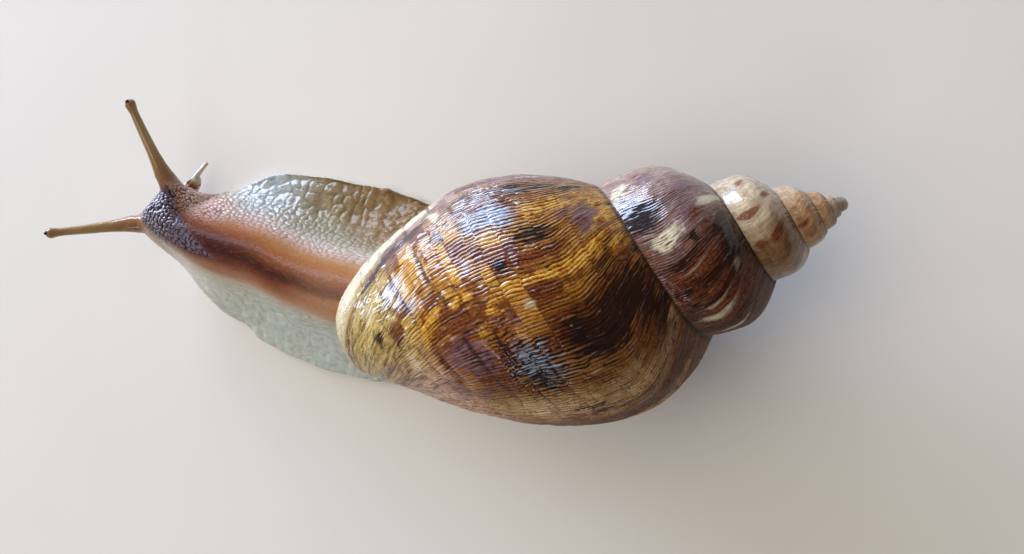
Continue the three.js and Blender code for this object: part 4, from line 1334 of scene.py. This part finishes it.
def edged(f, t, base):
    """The lip's pale edge, the dark thread along the suture, and the mouth, smooth like china inside, with
    painted shade deeper in.
    """
    faint = f.lay("d8ceac", "b0986e", t.streak, 0.4, 0.65, 0.5)
    base = f.lay(base, faint, t.age, 0.0, -0.014)
    thread = f.step(t.across, 0.03, 0.008) * f.step(t.age, -0.05, 0.05) * f.step(t.age, 4.8, 4.4)
    base = f.mix(thread * 0.8, base, "2b1a12")
    # Painted shade: the china lining turns greyer and darker deeper in the mouth.
    china_shaded_deeper = f.lay("d2c8b4", "a9a8b0", t.depth, 0.05, 0.6)
    return f.lay(base, china_shaded_deeper, t.depth, 0.0, 0.04)


def shell_finish():
    f = Finish("shell_lacquer")
    t = shell_texture(f)
    colour = edged(f, t, shaded_furrows(f, t, stained(f, t, streaked(f, t))))
    worn = f.step(t.lag, 0.3, 0.35) * f.step(t.lag, 1.04, 0.96)
    worn = worn + f.step(t.lag, 1.28, 1.36) * f.step(t.lag, 2.04, 1.98)
    f.set(Coat_Weight=0.9 - worn * 0.68, Coat_Roughness=0.06, Coat_IOR=1.52)
    f.set(IOR=1.45, Specular_IOR_Level=0.1)
    roughness = f.step(t.speck, 0.3, 0.7, 0.42, 0.6)
    return f.set(Base_Color=colour, Roughness=roughness, Normal=f.bump(t.hair * 0.6 + t.speck * 0.4, 0.4))


GIRTH_SPAN = 50.0  # the skin's colours are laid out over so much to either side of the highest line

# Skin colours round the back, from the left margin over the highest line to the right: girth in
# millimetres and colour, behind the head, over the front of the trunk, and over the rest.
NAPE = (
    (-30, "c9c8bc"), (-20, "cfc6b8"), (-14, "b5a290"), (-8, "a08a72"), (-4, "80624f"), (-1, "583622"),
    (2, "461f0e"), (5, "522812"), (8, "6a381f"), (11, "824a2e"), (14, "a07668"), (18, "bc9e98"),
    (23, "b89880"), (28, "b4a088"), (36, "c4c0b6"),
)
FRONT = (
    (-31, "b6bcb2"), (-22, "b6b8a8"), (-15, "b2a388"), (-10, "a67c5e"), (-6, "946450"), (-3, "5e3424"),
    (0, "38140c"), (3, "3e150b"), (6, "623012"), (9, "7e4624"), (12, "946040"), (16, "a6806a"),
    (20, "aa9484"), (25, "a0988e"), (30, "949896"), (40, "a4aaa8"),
)
TRUNK = (
    (-35, "b6bdb4"), (-25, "b3baae"), (-18, "b2b09e"), (-13, "b09c86"), (-9, "a8805e"), (-6, "905e42"),
    (-3, "6a3a24"), (-1.5, "522412"), (0, "36140a"), (2, "54280f"), (4, "6c3a1c"), (6, "804820"),
    (9, "915c30"), (12, "9a7048"), (16, "b08e7c"), (20, "b0a294"), (25, "978c78"), (30, "8c826a"),
    (36, "867858"), (45, "7e6a48"),
)



# Colours along the long feelers, from root to tip.
HORN = ((0.0, "7a4826"), (0.25, "8e6236"), (0.6, "a0844e"), (0.9, "967040"), (1.0, "7a5230"))


def skin_texture(f):
    """The skin's layers, and the noises that break up its colours."""
    names = ("run", "girth", "height", "pit", "feeler", "short_feeler", "mantle", "head", "tail")
    t = SimpleNamespace(**{name: f.layer(name) for name in names})
    t.share = t.run / BODY_LENGTH
    t.grain = f.noise(f.vector(t.run / 3.0, t.girth / 0.9, 1.0), detail=4.0, roughness=0.6)
    t.cloud = f.noise(f.vector(t.run / 14, t.girth / 7, 2.0))
    t.dots = f.noise(f.vector(t.run / 0.8, t.girth / 0.7, 4.0))
    t.mottle = f.noise(f.vector(t.run / 3.5, t.girth / 2.6, 9.0), roughness=0.6)
    t.drift = t.girth + (t.cloud - 0.5) * 3.5 + (t.grain - 0.5) * 2.5
    return t


def striped(f, t):
    """The dark stripe down the back and the colours beside it, paler and more ochre further back."""
    place = (t.drift + GIRTH_SPAN) / (2 * GIRTH_SPAN)
    nape, front, trunk = (
        f.ramp(place, [((girth + GIRTH_SPAN) / (2 * GIRTH_SPAN), colour) for girth, colour in stops])
        for stops in (NAPE, FRONT, TRUNK)
    )
    skin = f.lay(nape, front, t.share, 0.12, 0.21)
    skin = f.lay(skin, trunk, t.share, 0.23, 0.34)
    paler = f.step(t.share, 0.36, 0.5) * f.step(t.drift, -15.0, -8.0) * f.step(t.drift, 12.0, 4.0)
    paler = paler * (0.22 + f.step(t.drift, -1.0, -4.0) * 0.36)
    skin = f.mix(paler, skin, "b88e6c")
    ochre = f.step(t.share, 0.32, 0.5) * f.step(t.drift + (t.share - 0.4) * 40.0, 26.0, 38.0)
    return f.mix(ochre * 0.7, skin, "7c5a34")


def headed(f, t, skin):
    """Glossy grains on dark purple in the middle of the head, and pinkish ones on brown to its right, their
    pale tops partly a painted highlight.
    """
    middle = f.step(t.drift + t.share * 50.0, 13.5, 10.0) * f.step(t.drift, -9.0, -4.0)
    middle = middle * f.step(t.share, 0.15, 0.1)
    taper = f.step((t.drift + t.share * 39.0 - 5.9).math("ABSOLUTE") + t.share * 39.0, 10.0, 8.0)
    snout = f.step(t.share, 0.03, 0.0) * f.step(t.drift, 9.0, 5.0)
    purple = middle.math("MAXIMUM", taper).math("MAXIMUM", snout)
    pink = f.step(t.share, 0.22, 0.12) * f.step(t.drift, 5.5, 11.0) * f.step(t.drift, 27.0, 21.0)
    pink = pink * f.step(t.height, 4.0, 8.0)
    top = f.step(t.pit, 0.3, 0.9)
    # Painted highlight, in part: the pale pinkish white on the tops of the grains to the right of the
    # stripe.
    rosy_highlit = f.lay("a06850", "dabaae", t.drift, 6.0, 14.0)
    skin = f.mix(pink * 0.8, skin, f.mix(top, "7a4432", rosy_highlit))
    return f.mix(purple * 0.95, skin, f.mix(top, "1c141a", "64565e"))


def limbed(f, t, skin):
    """The tail, the mantle, the long and short feelers, and the pale hem of the foot."""
    skin = f.mix(t.tail, skin, f.mix(t.cloud, "7c6e50", "9a8a6a"))
    skin = f.mix(t.mantle, skin, f.mix(t.cloud, "b39561", "c9b183"))
    horn = f.mix(t.grain * 0.35, f.ramp(t.feeler, HORN), "b9a184")
    skin = f.lay(skin, horn, t.feeler, 0.02, 0.16)
    skin = f.lay(skin, "8a5a34", t.short_feeler, -0.1, 0.0)
    skin = f.lay(skin, "cdc2b0", t.short_feeler, 0.08, 0.3)
    return f.mix(f.step(t.height, 2.8, 1.0) * f.step(t.share, 0.1, 0.16) * 0.8, skin, "d8d2bc")


def shaded_grooves_and_mottles(f, t, skin, back):
    """Painted shade in the grooves, mottles on the flanks, and pale flecks, fewer on the back."""
    # Painted shade: darker in the grooves between the bumps, except on the head.
    groove = f.step(t.pit, 0.5, 0.05) * (1 - t.head)
    skin = f.mix(groove * 0.5, skin, f.mix(0.45, skin, "2c2418"))
    flank = f.step(t.drift, -12.0, -18.0) + f.step(t.drift, 20.0, 26.0)
    skin = f.mix(f.step(t.mottle, 0.42, 0.66) * flank * 0.4, skin, f.mix(0.5, skin, "5a5a4c"))
    flecks = 1 - back * 0.6
    skin = f.mix(f.step(t.grain, 0.5, 0.75, 0.0, 0.22) * flecks, skin, "c2aa92")
    return f.mix(f.step(t.dots, 0.62, 0.8, 0.0, 0.15) * flecks, skin, "d8cfc0")


def skin_finish():
    f = Finish("wet_skin")
    t = skin_texture(f)
    back = f.step(t.drift, 20.0, 12.0) * f.step(t.drift, -16.0, -8.0)
    back = back * f.step(t.share + t.drift * 0.006, 0.09, 0.15)
    colour = shaded_grooves_and_mottles(f, t, limbed(f, t, headed(f, t, striped(f, t))), back)
    fine = t.dots * 0.5 + t.grain * 0.5
    rear = f.step(t.share, 0.26, 0.4) * f.step(t.drift, 18.0, 24.0)
    coat = 0.62 + f.step(t.share, 0.16, 0.1) * 0.35 - back * 0.57 - rear * 0.42
    f.set(Coat_Weight=coat, Coat_Roughness=0.1, IOR=1.4, Specular_IOR_Level=0.08)
    f.set(Subsurface_Weight=0.12, Subsurface_Scale=0.002, Subsurface_Radius=(1.0, 0.5, 0.3))
    roughness = f.step(fine, 0.35, 0.65, 0.34, 0.52) + back * 0.2
    return f.set(Base_Color=colour, Roughness=roughness, Normal=f.bump(fine, 0.2))


def eye_finish():
    f = Finish("eye_gloss")
    place = f.node("ShaderNodeTexCoord", output="Object")
    cloud = f.noise(place, scale=2600.0, detail=2.0)
    f.set(Coat_Weight=1.0, Coat_Roughness=0.05, IOR=1.45)
    return f.set(Base_Color=f.mix(cloud, "120d0b", "2c1f18"), Roughness=f.step(cloud, 0.3, 0.7, 0.12, 0.22))


def floor_finish():
    f = Finish("pale_floor")
    place = f.node("ShaderNodeTexCoord", output="Object")
    cloud = f.noise(place, scale=9.0, detail=4.0)
    return f.set(Base_Color=f.mix(cloud, "d6d2cb", "dedad2"), Roughness=0.62)


# ---- Putting it together ------------------------------------------------------------------------


def dress(obj, material, slot, *nodes):
    obj.data.materials.append(material)
    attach(obj, "root")
    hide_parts(*nodes)
    return obj


FLESH = (
    "head", "neck", "trunk", "foot_front", "foot_middle", "foot_rear", "tail_tip", "mantle_collar",
    "upper_feeler_right", "upper_feeler_left", "lower_feeler_right", "lower_feeler_left",
)

dress(build_shell(), shell_finish(), "shell", "shell")
dress(build_skin(), skin_finish(), "head_skin", *FLESH)
eye_gloss = eye_finish()
for side in UPPER_FEELERS:
    dress(build_eye(side), eye_gloss, "eye", "eye_" + side)

# ---- Floor, light and camera --------------------------------------------------------------------

FLOOR_HALF = 1500.0

# Soft lights: bearing and height over the floor in degrees, distance, size, power, colour, and whether
# gloss mirrors it.
LIGHTS = {
    "window": (130, 12, 2200, (1800, 900), 104.0, "cfe0ff", True),
    "side_window": (171, 12, 2200, (460, 600), 13.6, "c6dcff", True),
    "doorway": (-102, 38, 2200, (840, 600), 6.4, "dfe9ff", True),
    "ceiling": (170, 62, 1500, (2000, 2000), 23.0, "fff4e6", False),
}
AIR_COLOUR, AIR_STRENGTH = "efe9e2", 0.09

LENS, SENSOR = 36.91, 36.0
CAMERA_TARGET = np.array([35.97, -8.76, 40.0])
CAMERA_DISTANCE = 310.0
CAMERA_TILT = math.radians(15.5)

corners = np.array([[-1, -1, 0], [1, -1, 0], [1, 1, 0], [-1, 1, 0]]) * FLOOR_HALF
floor = piece_from("floor", corners, np.arange(4), np.array([4]))
floor.data.materials.append(floor_finish())

for name, (bearing, elevation, distance, size, power, colour, mirrored) in LIGHTS.items():
    light = bpy.data.lights.new(name, "AREA")
    light.shape, light.size, light.size_y = "RECTANGLE", size[0] * MM, size[1] * MM
    light.energy, light.color = power, tone(colour)[:3]
    obj = bpy.data.objects.new(name, light)
    bearing, elevation = math.radians(bearing), math.radians(elevation)
    level = math.cos(elevation)
    way = Vector((level * math.cos(bearing), level * math.sin(bearing), math.sin(elevation)))
    obj.location = way * distance * MM
    obj.rotation_euler = way.to_track_quat("Z", "Y").to_euler()
    obj.visible_camera = False
    obj.visible_glossy = mirrored
    bpy.context.collection.objects.link(obj)

world = bpy.data.worlds.new("room_air")
world.use_nodes = True
world.node_tree.nodes["Background"].inputs["Color"].default_value = tone(AIR_COLOUR)
world.node_tree.nodes["Background"].inputs["Strength"].default_value = AIR_STRENGTH
bpy.context.scene.world = world
bpy.context.scene.view_settings.view_transform = "Standard"

camera_data = bpy.data.cameras.new("camera")
camera_data.lens, camera_data.sensor_width = LENS, SENSOR
camera_data.clip_start, camera_data.clip_end = 0.01, 10.0
camera = bpy.data.objects.new("camera", camera_data)
camera_way = np.array([math.sin(CAMERA_TILT), 0, math.cos(CAMERA_TILT)])
camera.location = Vector((CAMERA_TARGET + CAMERA_DISTANCE * camera_way) * MM)
camera.rotation_euler = (0, CAMERA_TILT, 0)
bpy.context.collection.objects.link(camera)
bpy.context.scene.camera = camera
